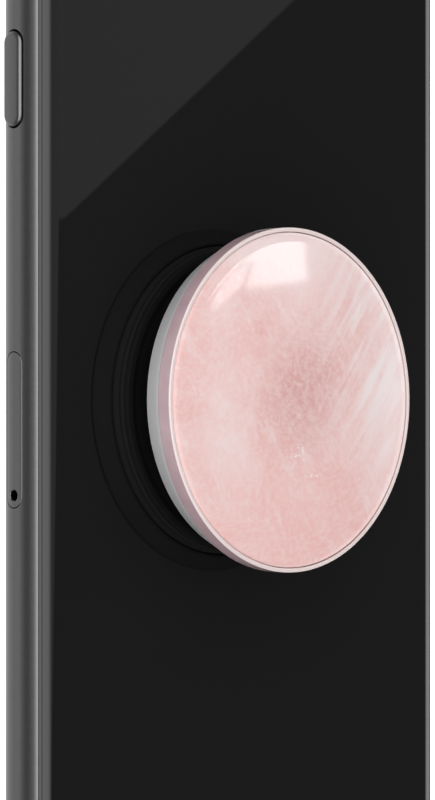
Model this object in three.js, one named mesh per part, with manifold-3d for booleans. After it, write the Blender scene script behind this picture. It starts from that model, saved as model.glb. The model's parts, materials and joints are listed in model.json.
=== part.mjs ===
// A smartphone with a glass back, and the folding disc grip that is stuck to it.
//
// Millimetres. The phone lies on its screen: z = 0 is the screen glass, +Z points out of the back,
// +Y points to the top edge (earpiece end), and x = y = 0 is the middle of the screen glass.
// Seen from the back with the top edge up, the power button and the SIM tray are on the left (-X).
import * as THREE from "three";
import { mergeVertices } from "three/addons/utils/BufferGeometryUtils.js";
import Module from "manifold-3d";

const wasm = await Module();
wasm.setup();

// ---- Driving dimensions -------------------------------------------------------------------------
const WIDTH = 67.3; // phone, along X
const LENGTH = 138.4; // phone, along Y
const THICK = 7.3; // phone, along Z
const CORNER = 10.5; // corner radius seen from the front
const EDGE = 3.2; // radius of the rounded sides
const GLASS = 0.88; // both glass panels
const SEAM = 0.18; // height of the seam between a glass panel and the frame
const WALL = 2.4; // frame wall, outside to inside
const GAP = 0.05; // between parts that touch
const MIDDLE = THICK / 2; // the port, the screws and the bottom holes are centred on this height
const SIDE_Z = 3.2; // the side keys, the mute switch and the tray are centred on this height
const SIDE = WIDTH / 2; // outermost x of the frame
const END = LENGTH / 2; // outermost y of the frame
const INNER_X = SIDE - WALL; // inside face of a long wall
const INNER_Y = END - WALL; // inside face of a short wall

const BAND_LOW = GLASS + SEAM; // the metal band runs between these heights
const BAND_HIGH = THICK - GLASS - SEAM;
const BAY_LOW = 2.35; // the bay that holds battery and boards
const BAY_HIGH = 5.15;
const PLATE_LOW = 5.28; // steel plate behind the back glass
const PLATE_HIGH = 5.74;

const KEY = { length: 10.9, width: 2.8, proud: 0.45, travel: 0.3, clearance: 0.15, flange: 0.5 };
const POWER_Y = 36.5;
const VOLUME_UP_Y = 36.5;
const VOLUME_DOWN_Y = 23.5;
const MUTE = { y: 49.5, length: 5.4, width: 2.6, knobLength: 5, knobWidth: 1.3, travel: 0.8 };

const TRAY = { y: -3.4, faceLength: 17.7, faceWidth: 2.7, faceDepth: 1.1, length: 15.4, depth: 14.4 };
const TRAY_LOW = 3.2; // underside and top of the tray plate
const TRAY_HIGH = 4;
const PIN_HOLE = { y: TRAY.y - TRAY.faceLength / 2 + 1.4, radius: 0.6 };
const CARD = { length: 12.3, depth: 8.8 };

const HOME = { y: -61, length: 13, width: 5.4, clearance: 0.15, recess: 0.1, travel: 0.25 };
const EARPIECE = { y: 61, length: 10, width: 1.3 };
const PORT = { width: 8.34, height: 2.56, wall: 0.3, depth: 7.4 };
const CAMERA = { x: -22, y: 59, ring: 5.6, stem: 4.9, proud: 1.05 };
const FLASH = { x: -9.5, y: 59, radius: 2.5 };
const REAR_MIC = { x: -15.2, y: 59, radius: 0.45 };

const GRIP_X = -5.6; // centre of the grip on the back
const GRIP_RADIUS = 19.85;
const HEAD_LOW = 7.3; // height of the head's underside above the back, as it stands half open
const HEAD_SPLIT = 10.9; // carrier below, cup above
const HEAD_RIM = 12.85; // rim of the cup
const STONE_TOP = 14.5;

const FINE = 8; // segments of a plan corner
const ROUND = 36; // segments round the grip
const HOLE = 10; // sides of a small round hole

// ---- Shapes -------------------------------------------------------------------------------------

// A rectangle with round corners, centred on the origin.
function roundedRect(width, height, radius) {
  const x = width / 2 - radius;
  const y = height / 2 - radius;
  const shape = new THREE.Shape();
  shape.moveTo(-x, -height / 2);
  shape.lineTo(x, -height / 2);
  shape.absarc(x, -y, radius, -Math.PI / 2, 0);
  shape.absarc(x, y, radius, 0, Math.PI / 2);
  shape.absarc(-x, y, radius, Math.PI / 2, Math.PI);
  shape.absarc(-x, -y, radius, Math.PI, 1.5 * Math.PI);
  return shape;
}

// A slot shape with round ends.
const pill = (length, width) => roundedRect(length, width, Math.min(length, width) / 2 - 0.001);

// The phone's outline, drawn in from the outside by inset.
const outline = (inset) =>
  roundedRect(WIDTH - 2 * inset, LENGTH - 2 * inset, CORNER - inset);

function polygon(points) {
  return new THREE.Shape(points.map(([x, y]) => new THREE.Vector2(x, y)));
}

// ---- Solids: manifold-3d joins and cuts what three.js shapes --------------------------------------

function toSolid(geometry) {
  const bare = geometry.clone();
  bare.deleteAttribute("normal");
  bare.deleteAttribute("uv");
  const merged = mergeVertices(bare, 1e-4);
  return new wasm.Manifold(
    new wasm.Mesh({
      numProp: 3,
      vertProperties: new Float32Array(merged.attributes.position.array),
      triVerts: new Uint32Array(merged.index.array),
    }),
  );
}

function toGeometry(solid) {
  const mesh = solid.getMesh();
  const geometry = new THREE.BufferGeometry();
  geometry.setAttribute("position", new THREE.BufferAttribute(mesh.vertProperties, 3));
  geometry.setIndex(new THREE.BufferAttribute(mesh.triVerts, 1));
  geometry.computeVertexNormals();
  return geometry;
}

function extrusion(shape, depth, segments = 6) {
  return new THREE.ExtrudeGeometry(shape, { depth, bevelEnabled: false, curveSegments: segments });
}

// A plan shape raised from height low to height high.
function slab(shape, low, high, x = 0, y = 0, segments = 6) {
  return toSolid(extrusion(shape, high - low, segments).translate(x, y, low));
}

const box = (x0, x1, y0, y1, z0, z1) =>
  toSolid(
    new THREE.BoxGeometry(x1 - x0, y1 - y0, z1 - z0).translate(
      (x0 + x1) / 2,
      (y0 + y1) / 2,
      (z0 + z1) / 2,
    ),
  );

// A shape drawn in (Y, Z) and run along X from x0 to x1.
const TURN_TO_X = new THREE.Matrix4().makeBasis(
  new THREE.Vector3(0, 1, 0),
  new THREE.Vector3(0, 0, 1),
  new THREE.Vector3(1, 0, 0),
);
function alongX(shape, x0, x1, y, z) {
  const turned = extrusion(shape, x1 - x0, 4).applyMatrix4(TURN_TO_X);
  return toSolid(turned.translate(x0, y, z));
}

// A shape drawn in (Z, X) and run along Y from y0 to y1.
const TURN_TO_Y = new THREE.Matrix4().makeBasis(
  new THREE.Vector3(0, 0, 1),
  new THREE.Vector3(1, 0, 0),
  new THREE.Vector3(0, 1, 0),
);
function alongY(shape, y0, y1, x, z) {
  const turned = extrusion(shape, y1 - y0, 4).applyMatrix4(TURN_TO_Y);
  return toSolid(turned.translate(x, y0, z));
}

// Upright round bar from z0 to z1.
function rod(radius, z0, z1, x, y, sides = 24) {
  const bar = new THREE.CylinderGeometry(radius, radius, z1 - z0, sides).rotateX(Math.PI / 2);
  return toSolid(bar.translate(x, y, (z0 + z1) / 2));
}

const rodAlongX = (radius, x0, x1, y, z, sides = HOLE) =>
  toSolid(
    new THREE.CylinderGeometry(radius, radius, x1 - x0, sides)
      .rotateZ(Math.PI / 2)
      .translate((x0 + x1) / 2, y, z),
  );

const rodAlongY = (radius, y0, y1, x, z, sides = HOLE) =>
  toSolid(
    new THREE.CylinderGeometry(radius, radius, y1 - y0, sides).translate(x, (y0 + y1) / 2, z),
  );

// A profile of (radius, height above the back glass) turned round the grip's axis.
function turned(profile) {
  const closed = profile[0][0] === 0 ? profile : [...profile, profile[0]];
  const points = closed.map(([r, h]) => new THREE.Vector2(r, h));
  const lathe = new THREE.LatheGeometry(points, ROUND).rotateX(Math.PI / 2);
  return toSolid(lathe.translate(GRIP_X, 0, THICK));
}

const joinAll = (solids) => solids.reduce((whole, piece) => whole.add(piece));
const cutAll = (solid, cuts) => cuts.reduce((rest, cut) => rest.subtract(cut), solid);

// ---- Scene graph --------------------------------------------------------------------------------

const phone = new THREE.Group();

const FINISH = {
  frame: { color: 0x5f6061, roughness: 0.38, metalness: 1 },
  blackGlass: { color: 0x0b0b0c, roughness: 0.06, metalness: 0 },
  clearGlass: { color: 0x20242a, roughness: 0.03, metalness: 0 },
  steel: { color: 0xa8a9ab, roughness: 0.35, metalness: 1 },
  copper: { color: 0xb56a3c, roughness: 0.4, metalness: 1 },
  board: { color: 0x12301f, roughness: 0.6, metalness: 0 },
  chip: { color: 0x17181a, roughness: 0.5, metalness: 0 },
  battery: { color: 0x1c1c1f, roughness: 0.55, metalness: 0 },
  plastic: { color: 0x1a1a1b, roughness: 0.6, metalness: 0 },
  gasket: { color: 0x0a0a0a, roughness: 0.9, metalness: 0 },
  panel: { color: 0x050507, roughness: 0.3, metalness: 0 },
  gripBlack: { color: 0x161617, roughness: 0.55, metalness: 0 },
  gripGrey: { color: 0xb4b3b3, roughness: 0.3, metalness: 0 },
  gripPink: { color: 0xc3a5a9, roughness: 0.15, metalness: 0 },
  stone: { color: 0xf0c8c5, roughness: 0.12, metalness: 0 },
};

function addPart(name, solid, finish) {
  const mesh = new THREE.Mesh(toGeometry(solid), new THREE.MeshStandardMaterial(FINISH[finish]));
  mesh.name = name;
  phone.add(mesh);
}

// ---- Housing ------------------------------------------------------------------------------------

// The whole phone as one pebble: its outline swelled by a round edge all the way round.
function envelope() {
  const pebble = new THREE.ExtrudeGeometry(outline(0), {
    depth: THICK - 2 * EDGE,
    bevelEnabled: true,
    bevelThickness: EDGE,
    bevelSize: EDGE,
    bevelOffset: -EDGE,
    bevelSegments: 5,
    curveSegments: FINE,
  });
  return toSolid(pebble.translate(0, 0, EDGE));
}

// The part of the pebble between two heights.
const layer = (low, high) =>
  envelope().intersect(box(-SIDE - 1, SIDE + 1, -END - 1, END + 1, low, high));

const bay = (inset, low, high) => slab(outline(inset), low, high, 0, 0, 5);

const speakerHoles = (from, count, pitch) =>
  Array.from({ length: count }, (_, i) =>
    rodAlongY(0.7, -END - 1, -INNER_Y + 1, from + i * pitch, MIDDLE, 8),
  );

const SCREW_X = 7.4; // the two screws beside the port
const SPEAKER_X = 11; // first of the speaker holes; the microphone holes mirror them
const HOLE_PITCH = 2.4;
const HOLE_COUNT = 6;
const INSERT = { y: 60.4, width: 1.2, depth: 1.3 };

// The wedge of band that one antenna insert fills. grow widens it to make its seat in the frame.
function insertBlock(side, end, grow) {
  const y = end * INSERT.y;
  const half = INSERT.width / 2 + grow;
  const inner = SIDE - INSERT.depth - grow;
  const strip = box(inner, SIDE + 1, y - half, y + half, BAND_LOW + GAP - grow, BAND_HIGH - GAP + grow);
  return side < 0 ? strip.mirror([1, 0, 0]) : strip;
}

function keySlot(side, y, length, width) {
  const reach = side < 0 ? [-SIDE - 1, -INNER_X + 1] : [INNER_X - 1, SIDE + 1];
  return alongX(pill(length, width), reach[0], reach[1], y, SIDE_Z);
}

function sideFrame() {
  const band = layer(BAND_LOW, BAND_HIGH).subtract(bay(WALL, 0, THICK));
  const keyLength = KEY.length + 2 * KEY.clearance;
  const keyWidth = KEY.width + 2 * KEY.clearance;
  const faceClearance = 0.2;
  const trayPocket = alongX(
    pill(TRAY.faceLength + faceClearance, TRAY.faceWidth + faceClearance),
    -SIDE - 1,
    -SIDE + TRAY.faceDepth + 0.3,
    TRAY.y,
    SIDE_Z,
  );
  const traySlot = box(
    -SIDE,
    -INNER_X + 1,
    TRAY.y - TRAY.length / 2 - 0.15,
    TRAY.y + TRAY.length / 2 + 0.15,
    TRAY_LOW - 0.1,
    TRAY_HIGH + 0.1,
  );
  const pinBore = rodAlongX(PIN_HOLE.radius + 0.2, -SIDE, -INNER_X + 1, PIN_HOLE.y, SIDE_Z);
  const pegWay = box(-SIDE, -INNER_X + 1, PEG.y0 - 0.15, PEG.y1 + 0.15, PEG.low - 0.1, TRAY_LOW);
  const portMouth = alongY(
    pill(PORT.height + 2 * PORT.wall + 0.2, PORT.width + 2 * PORT.wall + 0.2),
    -END - 1,
    -INNER_Y + 1,
    0,
    MIDDLE,
  );
  const screwSeats = [-SCREW_X, SCREW_X].flatMap((x) => [
    rodAlongY(0.95, -END - 1, -END + 0.8, x, MIDDLE),
    rodAlongY(0.65, -END, -INNER_Y + 1, x, MIDDLE),
  ]);
  const inserts = [-1, 1].flatMap((side) => [-1, 1].map((end) => insertBlock(side, end, GAP)));
  return cutAll(band, [
    keySlot(-1, POWER_Y, keyLength, keyWidth),
    keySlot(1, VOLUME_UP_Y, keyLength, keyWidth),
    keySlot(1, VOLUME_DOWN_Y, keyLength, keyWidth),
    keySlot(1, MUTE.y, MUTE.length, MUTE.width),
    trayPocket,
    traySlot,
    pinBore,
    pegWay,
    portMouth,
    ...screwSeats,
    ...speakerHoles(SPEAKER_X, HOLE_COUNT, HOLE_PITCH),
    ...speakerHoles(-SPEAKER_X, HOLE_COUNT, -HOLE_PITCH),
    ...inserts,
  ]);
}

function rearGlass() {
  return cutAll(layer(THICK - GLASS, THICK), [
    rod(CAMERA.stem + 0.1, 0, 2 * THICK, CAMERA.x, CAMERA.y, 32),
    rod(FLASH.radius + 0.1, 0, 2 * THICK, FLASH.x, FLASH.y, 20),
    rod(REAR_MIC.radius, 0, 2 * THICK, REAR_MIC.x, REAR_MIC.y, HOLE),
  ]);
}

function frontGlass() {
  const grow = 2 * HOME.clearance;
  return cutAll(layer(0, GLASS), [
    slab(pill(HOME.length + grow, HOME.width + grow), -1, THICK, 0, HOME.y),
    slab(pill(EARPIECE.length, EARPIECE.width), -1, THICK, 0, EARPIECE.y),
  ]);
}

// A flat ring just inside the phone's outline.
const ring = (outer, inner, low, high) =>
  slab(outline(outer), low, high, 0, 0, 5).subtract(bay(inner, low - 1, high + 1));

function rearPlate() {
  const cameraHalf = 6.2;
  return cutAll(bay(WALL + GAP, PLATE_LOW, PLATE_HIGH), [
    box(
      CAMERA.x - cameraHalf,
      CAMERA.x + cameraHalf,
      CAMERA.y - cameraHalf,
      CAMERA.y + cameraHalf,
      0,
      THICK,
    ),
    rod(2.2, 0, THICK, FLASH.x, FLASH.y, 16),
    rod(0.8, 0, THICK, REAR_MIC.x, REAR_MIC.y, HOLE),
  ]);
}

function addHousing() {
  addPart("side_frame", sideFrame(), "frame");
  addPart("rear_glass", rearGlass(), "blackGlass");
  addPart("front_glass", frontGlass(), "blackGlass");
  const gasketIn = 1.15; // the gaskets lie this far inside the outline, deep in the seam
  const lift = 0.03; // of a gasket's faces off its neighbours
  addPart("rear_gasket", ring(gasketIn, WALL, BAND_HIGH + lift, THICK - GLASS - lift), "gasket");
  addPart("front_gasket", ring(gasketIn, WALL, GLASS + lift, BAND_LOW - lift), "gasket");
  addPart("rear_plate", rearPlate(), "steel");
  const shell = envelope();
  for (const [side, across] of [[-1, "left"], [1, "right"]]) {
    for (const [end, along] of [[-1, "bottom"], [1, "top"]]) {
      const insert = insertBlock(side, end, 0).intersect(shell);
      addPart(`antenna_insert_${along}_${across}`, insert, "plastic");
    }
  }
}

// ---- Screen ---------------------------------------------------------------------------------------

const SCREEN = { width: 59.5, length: 105 };

function homeKey() {
  const flange = 0.7; // keeps the key from falling out through the glass
  const key = slab(pill(HOME.length, HOME.width), HOME.recess, GLASS + 0.1, 0, HOME.y);
  const foot = pill(HOME.length + 2 * flange, HOME.width + 2 * flange);
  return key.add(slab(foot, GLASS + GAP, GLASS + 0.2, 0, HOME.y));
}

function addScreen() {
  const panelLow = GLASS + GAP;
  const panel = slab(roundedRect(SCREEN.width, SCREEN.length, 1.5), panelLow, 1.95, 0, 0, 3);
  addPart("display_panel", panel, "panel");
  const shield = slab(roundedRect(SCREEN.width - 1, SCREEN.length - 1, 1.5), 2, 2.25, 0, 0, 3);
  addPart("display_shield_plate", shield, "steel");
  addPart("home_key", homeKey(), "blackGlass");
  const switchLow = GLASS + 0.2 + HOME.travel + GAP;
  const homeSwitch = slab(pill(9, 4), switchLow, switchLow + 0.35, 0, HOME.y, 4);
  addPart("home_key_switch", homeSwitch, "steel");
  const meshLow = 0.3; // the earpiece mesh sits below the face of the glass
  const mesh = pill(EARPIECE.length - 0.2, EARPIECE.width - 0.2);
  addPart("earpiece_mesh", slab(mesh, meshLow, GLASS, 0, EARPIECE.y, 4), "steel");
}

// ---- Side keys --------------------------------------------------------------------------------------

// A key cap with the flange that holds it in the wall. It is drawn for the +X side.
function keyCap(y) {
  const face = alongX(pill(KEY.length, KEY.width), INNER_X - 0.2, SIDE + KEY.proud, y, SIDE_Z);
  const round = 0.3; // softens the rim of the cap, which stands proud
  const soft = alongX(
    pill(KEY.length - 2 * round, KEY.width - 2 * round),
    SIDE + KEY.proud - round,
    SIDE + KEY.proud,
    y,
    SIDE_Z,
  );
  const sharp = alongX(
    pill(KEY.length + 1, KEY.width + 1),
    SIDE + KEY.proud - round,
    SIDE + KEY.proud + 1,
    y,
    SIDE_Z,
  );
  const foot = pill(KEY.length + 1.2, KEY.width + 0.8);
  const flange = alongX(foot, INNER_X - GAP - KEY.flange, INNER_X - GAP, y, SIDE_Z);
  return joinAll([face.subtract(sharp), soft, flange]);
}

// The dome switch and its bracket, which the flange presses. It is drawn for the +X side.
function keySwitch(y) {
  const face = INNER_X - GAP - KEY.flange - KEY.travel - GAP;
  const bracket = box(face - 0.9, face - 0.6, y - 6, y + 6, BAY_LOW + 0.15, BAY_HIGH - 0.1);
  const dome = box(face - 0.6, face, y - 1.6, y + 1.6, SIDE_Z - 0.7, SIDE_Z + 0.9);
  return bracket.add(dome);
}

const mirrored = (solid) => solid.mirror([1, 0, 0]);

// A toggle that slides from the screen side to the back side of its window.
function muteSwitch() {
  const z = SIDE_Z - MUTE.travel / 2;
  const knob = alongX(pill(MUTE.knobLength, MUTE.knobWidth), INNER_X - 0.2, SIDE + 0.1, MUTE.y, z);
  const foot = box(INNER_X - 0.75, INNER_X - 0.15, MUTE.y - 3.6, MUTE.y + 3.6, z - 1.2, z + 1.2);
  return knob.add(foot);
}

function muteSwitchBody() {
  const x1 = INNER_X - 0.8;
  return box(x1 - 0.8, x1, MUTE.y - 4.2, MUTE.y + 4.2, BAY_LOW + 0.1, BAY_HIGH - 0.1);
}

function addKeys() {
  addPart("power_button", mirrored(keyCap(POWER_Y)), "frame");
  addPart("power_switch", mirrored(keySwitch(POWER_Y)), "steel");
  addPart("volume_up_button", keyCap(VOLUME_UP_Y), "frame");
  addPart("volume_up_switch", keySwitch(VOLUME_UP_Y), "steel");
  addPart("volume_down_button", keyCap(VOLUME_DOWN_Y), "frame");
  addPart("volume_down_switch", keySwitch(VOLUME_DOWN_Y), "steel");
  addPart("mute_switch", muteSwitch(), "frame");
  addPart("mute_switch_body", muteSwitchBody(), "plastic");
}

// ---- SIM tray, reader and ejector -------------------------------------------------------------------

const READER = { x0: -28.6, x1: -18.2, low: 2.85, high: 4.3 };
// The eject lever lies under the tray, just inside the wall, and turns on a pin of the reader. A pin
// pushed through the hole moves its outer arm in, and its inner arm pushes the tray's peg out.
const LEVER = { x: -29.7, y: -8.2, width: 0.9, outer: 2.65, inner: 2.6, low: 2.6, high: 3.05 };
const PEG = { x0: -31.1, x1: -30.75, y0: -6.5, y1: -5.7, low: 2.65 };

function simTray() {
  const face = alongX(
    pill(TRAY.faceLength, TRAY.faceWidth),
    -SIDE - 1,
    -SIDE + TRAY.faceDepth,
    TRAY.y,
    SIDE_Z,
  ).intersect(envelope());
  const plate = box(
    -SIDE + TRAY.faceDepth - 0.2,
    -SIDE + TRAY.faceDepth + TRAY.depth,
    TRAY.y - TRAY.length / 2 + 1.9,
    TRAY.y + TRAY.length / 2,
    TRAY_LOW,
    TRAY_HIGH,
  );
  const peg = box(PEG.x0, PEG.x1, PEG.y0, PEG.y1, PEG.low, TRAY_LOW + 0.1);
  const window = cardBlock(0.1).add(cardBlock(-0.6).translate([0, 0, -1]));
  const pinHole = rodAlongX(PIN_HOLE.radius, -SIDE - 1, -SIDE + 2, PIN_HOLE.y, SIDE_Z, 16);
  return cutAll(joinAll([face, plate, peg]), [window, pinHole]);
}

// The SIM card's place in the tray, made larger by grow on each side.
function cardBlock(grow) {
  const y = TRAY.y + 0.9;
  const x1 = -SIDE + TRAY.faceDepth + TRAY.depth - 1.2;
  return box(
    x1 - CARD.depth - grow,
    x1 + grow,
    y - CARD.length / 2 - grow,
    y + CARD.length / 2 + grow,
    TRAY_LOW + 0.1,
    TRAY_HIGH + 0.1 * Math.sign(grow),
  );
}

// The sheet-metal cage round the tray. A tab on it carries the pin that the lever turns on.
function simReader() {
  const half = TRAY.length / 2;
  const { x0, x1, low, high } = READER;
  const cage = box(x0, x1, TRAY.y - half + 1.4, TRAY.y + half + 0.6, low, high);
  const slot = box(
    x0 - 1,
    x1 + 1,
    TRAY.y - half + 1.8,
    TRAY.y + half + 0.1,
    TRAY_LOW - 0.08,
    TRAY_HIGH + 0.08,
  );
  const tabLow = LEVER.low - 0.2;
  const tab = box(LEVER.x - 0.7, x0 + 0.6, LEVER.y - 0.7, LEVER.y + 0.7, tabLow, LEVER.low - 0.05);
  const riser = box(x0, x0 + 0.6, LEVER.y - 0.7, LEVER.y + 0.7, tabLow, low + 0.1);
  const pin = rod(0.25, tabLow, LEVER.high + 0.05, LEVER.x, LEVER.y, 16);
  return joinAll([cage.subtract(slot), tab, riser, pin]);
}

// The lever turns a push of the pin inwards into a push on the tray's peg outwards.
function ejectLever() {
  const half = LEVER.width / 2;
  const { x, y, low, high } = LEVER;
  const y0 = y - LEVER.outer - 0.6;
  const bar = box(x - half, x + half, y0, y + LEVER.inner, low, high);
  const pad = box(x - half, x, y0, y0 + 1.2, low, MIDDLE + 0.4);
  return bar.add(pad).subtract(rod(0.33, 0, THICK, x, y, 16));
}

function addSim() {
  addPart("sim_tray", simTray(), "frame");
  addPart("sim_card", cardBlock(-0.02).translate([0, 0, 0.02]), "plastic");
  addPart("sim_reader", simReader(), "steel");
  addPart("sim_eject_lever", ejectLever(), "steel");
}

// ---- Boards, battery, sound, camera ------------------------------------------------------------------

const BOARD_LOW = 4.36;

function logicBoard() {
  const shape = polygon([
    [-29, -18],
    [-8.6, -18],
    [-8.6, 51],
    [-27.2, 51],
    [-27.2, 20],
    [-29, 18],
  ]);
  return slab(shape, BOARD_LOW, BAY_HIGH);
}

// A folded sheet-metal can, open towards the board.
function shieldCan(x0, x1, y0, y1) {
  const sheet = 0.2;
  const low = BAY_LOW + 0.15;
  const high = BOARD_LOW - GAP;
  const hollow = box(x0 + sheet, x1 - sheet, y0 + sheet, y1 - sheet, low + sheet, high + 1);
  return box(x0, x1, y0, y1, low, high).subtract(hollow);
}

const chip = (x0, x1, y0, y1, height) =>
  box(x0, x1, y0, y1, BOARD_LOW - GAP - height, BOARD_LOW - GAP);

function addBoards() {
  addPart("logic_board", logicBoard(), "board");
  addPart("processor_shield", shieldCan(-26.8, -9.2, 25, 50), "steel");
  addPart("processor", chip(-24, -12, 32, 44, 1.1), "chip");
  addPart("radio_shield", shieldCan(-26.8, -9.2, 8.5, 24.4), "steel");
  const cell = slab(roundedRect(35, 92, 1.2), BAY_LOW + 0.1, BAY_HIGH - 0.1, 10.2, 5.5, 3);
  addPart("battery", cell, "battery");
  const bottomBoard = polygon([
    [-29.5, -60],
    [7.6, -60],
    [7.6, -42],
    [-7.8, -42],
    [-7.8, -39.5],
    [-29.5, -39.5],
  ]);
  addPart("bottom_board", slab(bottomBoard, BOARD_LOW + 0.1, BAY_HIGH), "board");
}

const MOTOR = { x0: -29, x1: -9, y0: -38.5, y1: -20, wall: 0.4, play: 0.5 };

function motorCase() {
  const { x0, x1, y0, y1, wall } = MOTOR;
  const low = BAY_LOW + 0.15;
  const hollow = box(x0 + wall, x1 - wall, y0 + wall, y1 - wall, low + wall, BAY_HIGH + 1);
  return box(x0, x1, y0, y1, low, BAY_HIGH - 0.1).subtract(hollow);
}

// The sprung weight that shakes to and fro along X.
function motorWeight() {
  const side = MOTOR.wall + MOTOR.play + 0.2;
  const edge = MOTOR.wall + 0.2;
  return box(MOTOR.x0 + side, MOTOR.x1 - side, MOTOR.y0 + edge, MOTOR.y1 - edge, 3.1, 4.9);
}

function chargePort() {
  const { width, height, wall, depth } = PORT;
  const y0 = -END + 0.35;
  const outer = alongY(pill(height + 2 * wall, width + 2 * wall), y0, y0 + depth, 0, MIDDLE);
  const inner = alongY(pill(height, width), y0 - 1, y0 + depth - 0.6, 0, MIDDLE);
  const tongueHalf = 3.3;
  const tongue = box(-tongueHalf, tongueHalf, y0 + 1, y0 + depth - 0.3, MIDDLE - 0.35, MIDDLE + 0.35);
  return outer.subtract(inner).add(tongue);
}

// A pan-head screw with a hexagon recess, driven into the bottom edge.
function edgeScrew(x) {
  const head = rodAlongY(0.85, -END + 0.2, -END + 0.7, x, MIDDLE, 16);
  const shank = rodAlongY(0.55, -END + 0.6, -INNER_Y + 1.6, x, MIDDLE);
  const recess = rodAlongY(0.45, -END, -END + 0.45, x, MIDDLE, 6);
  return head.add(shank).subtract(recess);
}

function addBottomEnd() {
  addPart("vibration_motor_case", motorCase(), "steel");
  addPart("vibration_motor_weight", motorWeight(), "steel");
  addPart("charge_port", chargePort(), "steel");
  addPart("bottom_screw_left", edgeScrew(-SCREW_X), "steel");
  addPart("bottom_screw_right", edgeScrew(SCREW_X), "steel");
  const speaker = slab(roundedRect(20.4, 21, 1.5), BAY_LOW + 0.1, BAY_HIGH - 0.1, 19, -54.2, 3);
  addPart("loudspeaker", speaker, "plastic");
  const grilleY = -INNER_Y + 0.15;
  const span = HOLE_PITCH * (HOLE_COUNT - 1) + 2;
  for (const [name, x] of [["speaker_mesh", SPEAKER_X - 1], ["microphone_mesh", 1 - SPEAKER_X - span]]) {
    addPart(name, box(x, x + span, grilleY, grilleY + 0.3, MIDDLE - 1.1, MIDDLE + 1.1), "steel");
  }
}

function cameraRing() {
  const { x, y, ring: flange, stem, proud } = CAMERA;
  const top = THICK + proud;
  const collar = rod(flange, THICK + GAP, top - 0.25, x, y, 36);
  const cone = new THREE.CylinderGeometry(flange - 0.3, flange, 0.3, 36).rotateX(Math.PI / 2);
  const rim = toSolid(cone.translate(x, y, top - 0.15));
  const sleeve = rod(stem, THICK - GLASS, THICK + 0.2, x, y, 32);
  const seat = rod(4.3, top - 0.55, top + 1, x, y, 32);
  return joinAll([collar, rim, sleeve]).subtract(rod(3.6, 0, top + 1, x, y, 32)).subtract(seat);
}

function cameraHousing() {
  const half = 5.5;
  const { x, y } = CAMERA;
  const block = box(x - half, x + half, y - half, y + half, BAY_LOW + 0.1, PLATE_HIGH + 0.25);
  return block.subtract(rod(3.45, 3.7, THICK, x, y, 24));
}

function addCameras() {
  const { x, y, proud } = CAMERA;
  const top = THICK + proud;
  addPart("camera_ring", cameraRing(), "frame");
  addPart("camera_lens_cover", rod(4.25, top - 0.5, top - 0.15, x, y, 32), "clearGlass");
  addPart("camera_housing", cameraHousing(), "plastic");
  addPart("camera_lens_barrel", rod(3.3, 3.8, 6.5, x, y, 24), "plastic");
  addPart("flash_lens", rod(FLASH.radius, PLATE_HIGH + GAP, THICK - 0.06, FLASH.x, FLASH.y, 20), "clearGlass");
  addPart("front_camera", box(9, 14.5, 58, 63.5, 1.1, 4.4), "plastic");
  addPart("earpiece_speaker", slab(roundedRect(15, 7, 1), 1.1, 4.2, 0, EARPIECE.y, 3), "plastic");
}

function addCharging() {
  const coilLow = PLATE_HIGH + 0.2;
  const disc = rod(24, PLATE_HIGH + GAP, PLATE_HIGH + 0.15, 0, 0, 36);
  addPart("charging_coil_backing", disc, "chip");
  const coil = rod(22, coilLow, coilLow + 0.35, 0, 0, 36).subtract(rod(11, 0, THICK, 0, 0, 36));
  addPart("charging_coil", coil, "copper");
}

// ---- Folding grip ------------------------------------------------------------------------------------
// Heights are above the back glass. The grip stands half open: its lower fold is flat, its upper
// fold is up.

const FOLD = { outer: 17.95, ring: 17.5, ringIn: 12.7, neck: 9.45, wall: 0.5, ringLow: 3.06 };

function gripBase() {
  const rimLow = 0.1;
  return turned([
    [0, 0.8],
    [18.7, 0.8],
    [18.7, rimLow],
    [GRIP_RADIUS, rimLow],
    [GRIP_RADIUS, 0.35],
    [19.3, 1.05],
    [18.4, 1.75],
    [18.05, 1.75],
    [18.05, 1.25],
    [0, 1.25],
  ]);
}

// The lower fold: a soft wall from the base up to the middle ring.
function lowerFold() {
  return turned([
    [FOLD.outer - FOLD.wall, 1.3],
    [FOLD.outer, 1.3],
    [17.78, 2.2],
    [17.55, FOLD.ringLow - GAP],
    [17.1, FOLD.ringLow - GAP],
    [17.3, 2.2],
  ]);
}

// The middle ring: a stiff crest with a shelf that falls inwards to the upper fold.
function middleRing() {
  return turned([
    [FOLD.ringIn, 2.4],
    [16.9, 2.4],
    [16.9, FOLD.ringLow],
    [FOLD.ring, FOLD.ringLow],
    [FOLD.ring, 3.4],
    [17.25, 3.65],
    [16.7, 3.65],
    [15.8, 3.2],
    [FOLD.ringIn, 3],
  ]);
}

// The upper fold: a cone from the middle ring to the neck.
function upperFold() {
  return turned([
    [FOLD.ringIn - GAP - FOLD.wall, 2.55],
    [FOLD.ringIn - GAP, 2.55],
    [FOLD.ringIn - 0.3, 3.6],
    [11.6, 5],
    [FOLD.neck + FOLD.wall, 6.45],
    [FOLD.neck + GAP, 6.45],
    [11.1, 4.8],
    [11.9, 3.5],
  ]);
}

const LOCK = { post: 5.4, lug: 7.9, lugWidth: 4.4, lugLow: 8.3, lugHigh: 9.25 };

// The neck plate closes the top of the folds. Its post and two lugs hold the head like a bayonet.
function neckPlate() {
  const plate = turned([
    [0, 6.35],
    [FOLD.neck, 6.35],
    [FOLD.neck, 7.1],
    [0, 7.1],
  ]);
  const post = rod(LOCK.post, THICK + 7.05, THICK + LOCK.lugHigh, GRIP_X, 0, 32);
  const lugs = slab(
    roundedRect(2 * LOCK.lug, LOCK.lugWidth, 1),
    THICK + LOCK.lugLow,
    THICK + LOCK.lugHigh,
    GRIP_X,
    0,
    3,
  );
  return joinAll([plate, post, lugs]);
}

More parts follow.
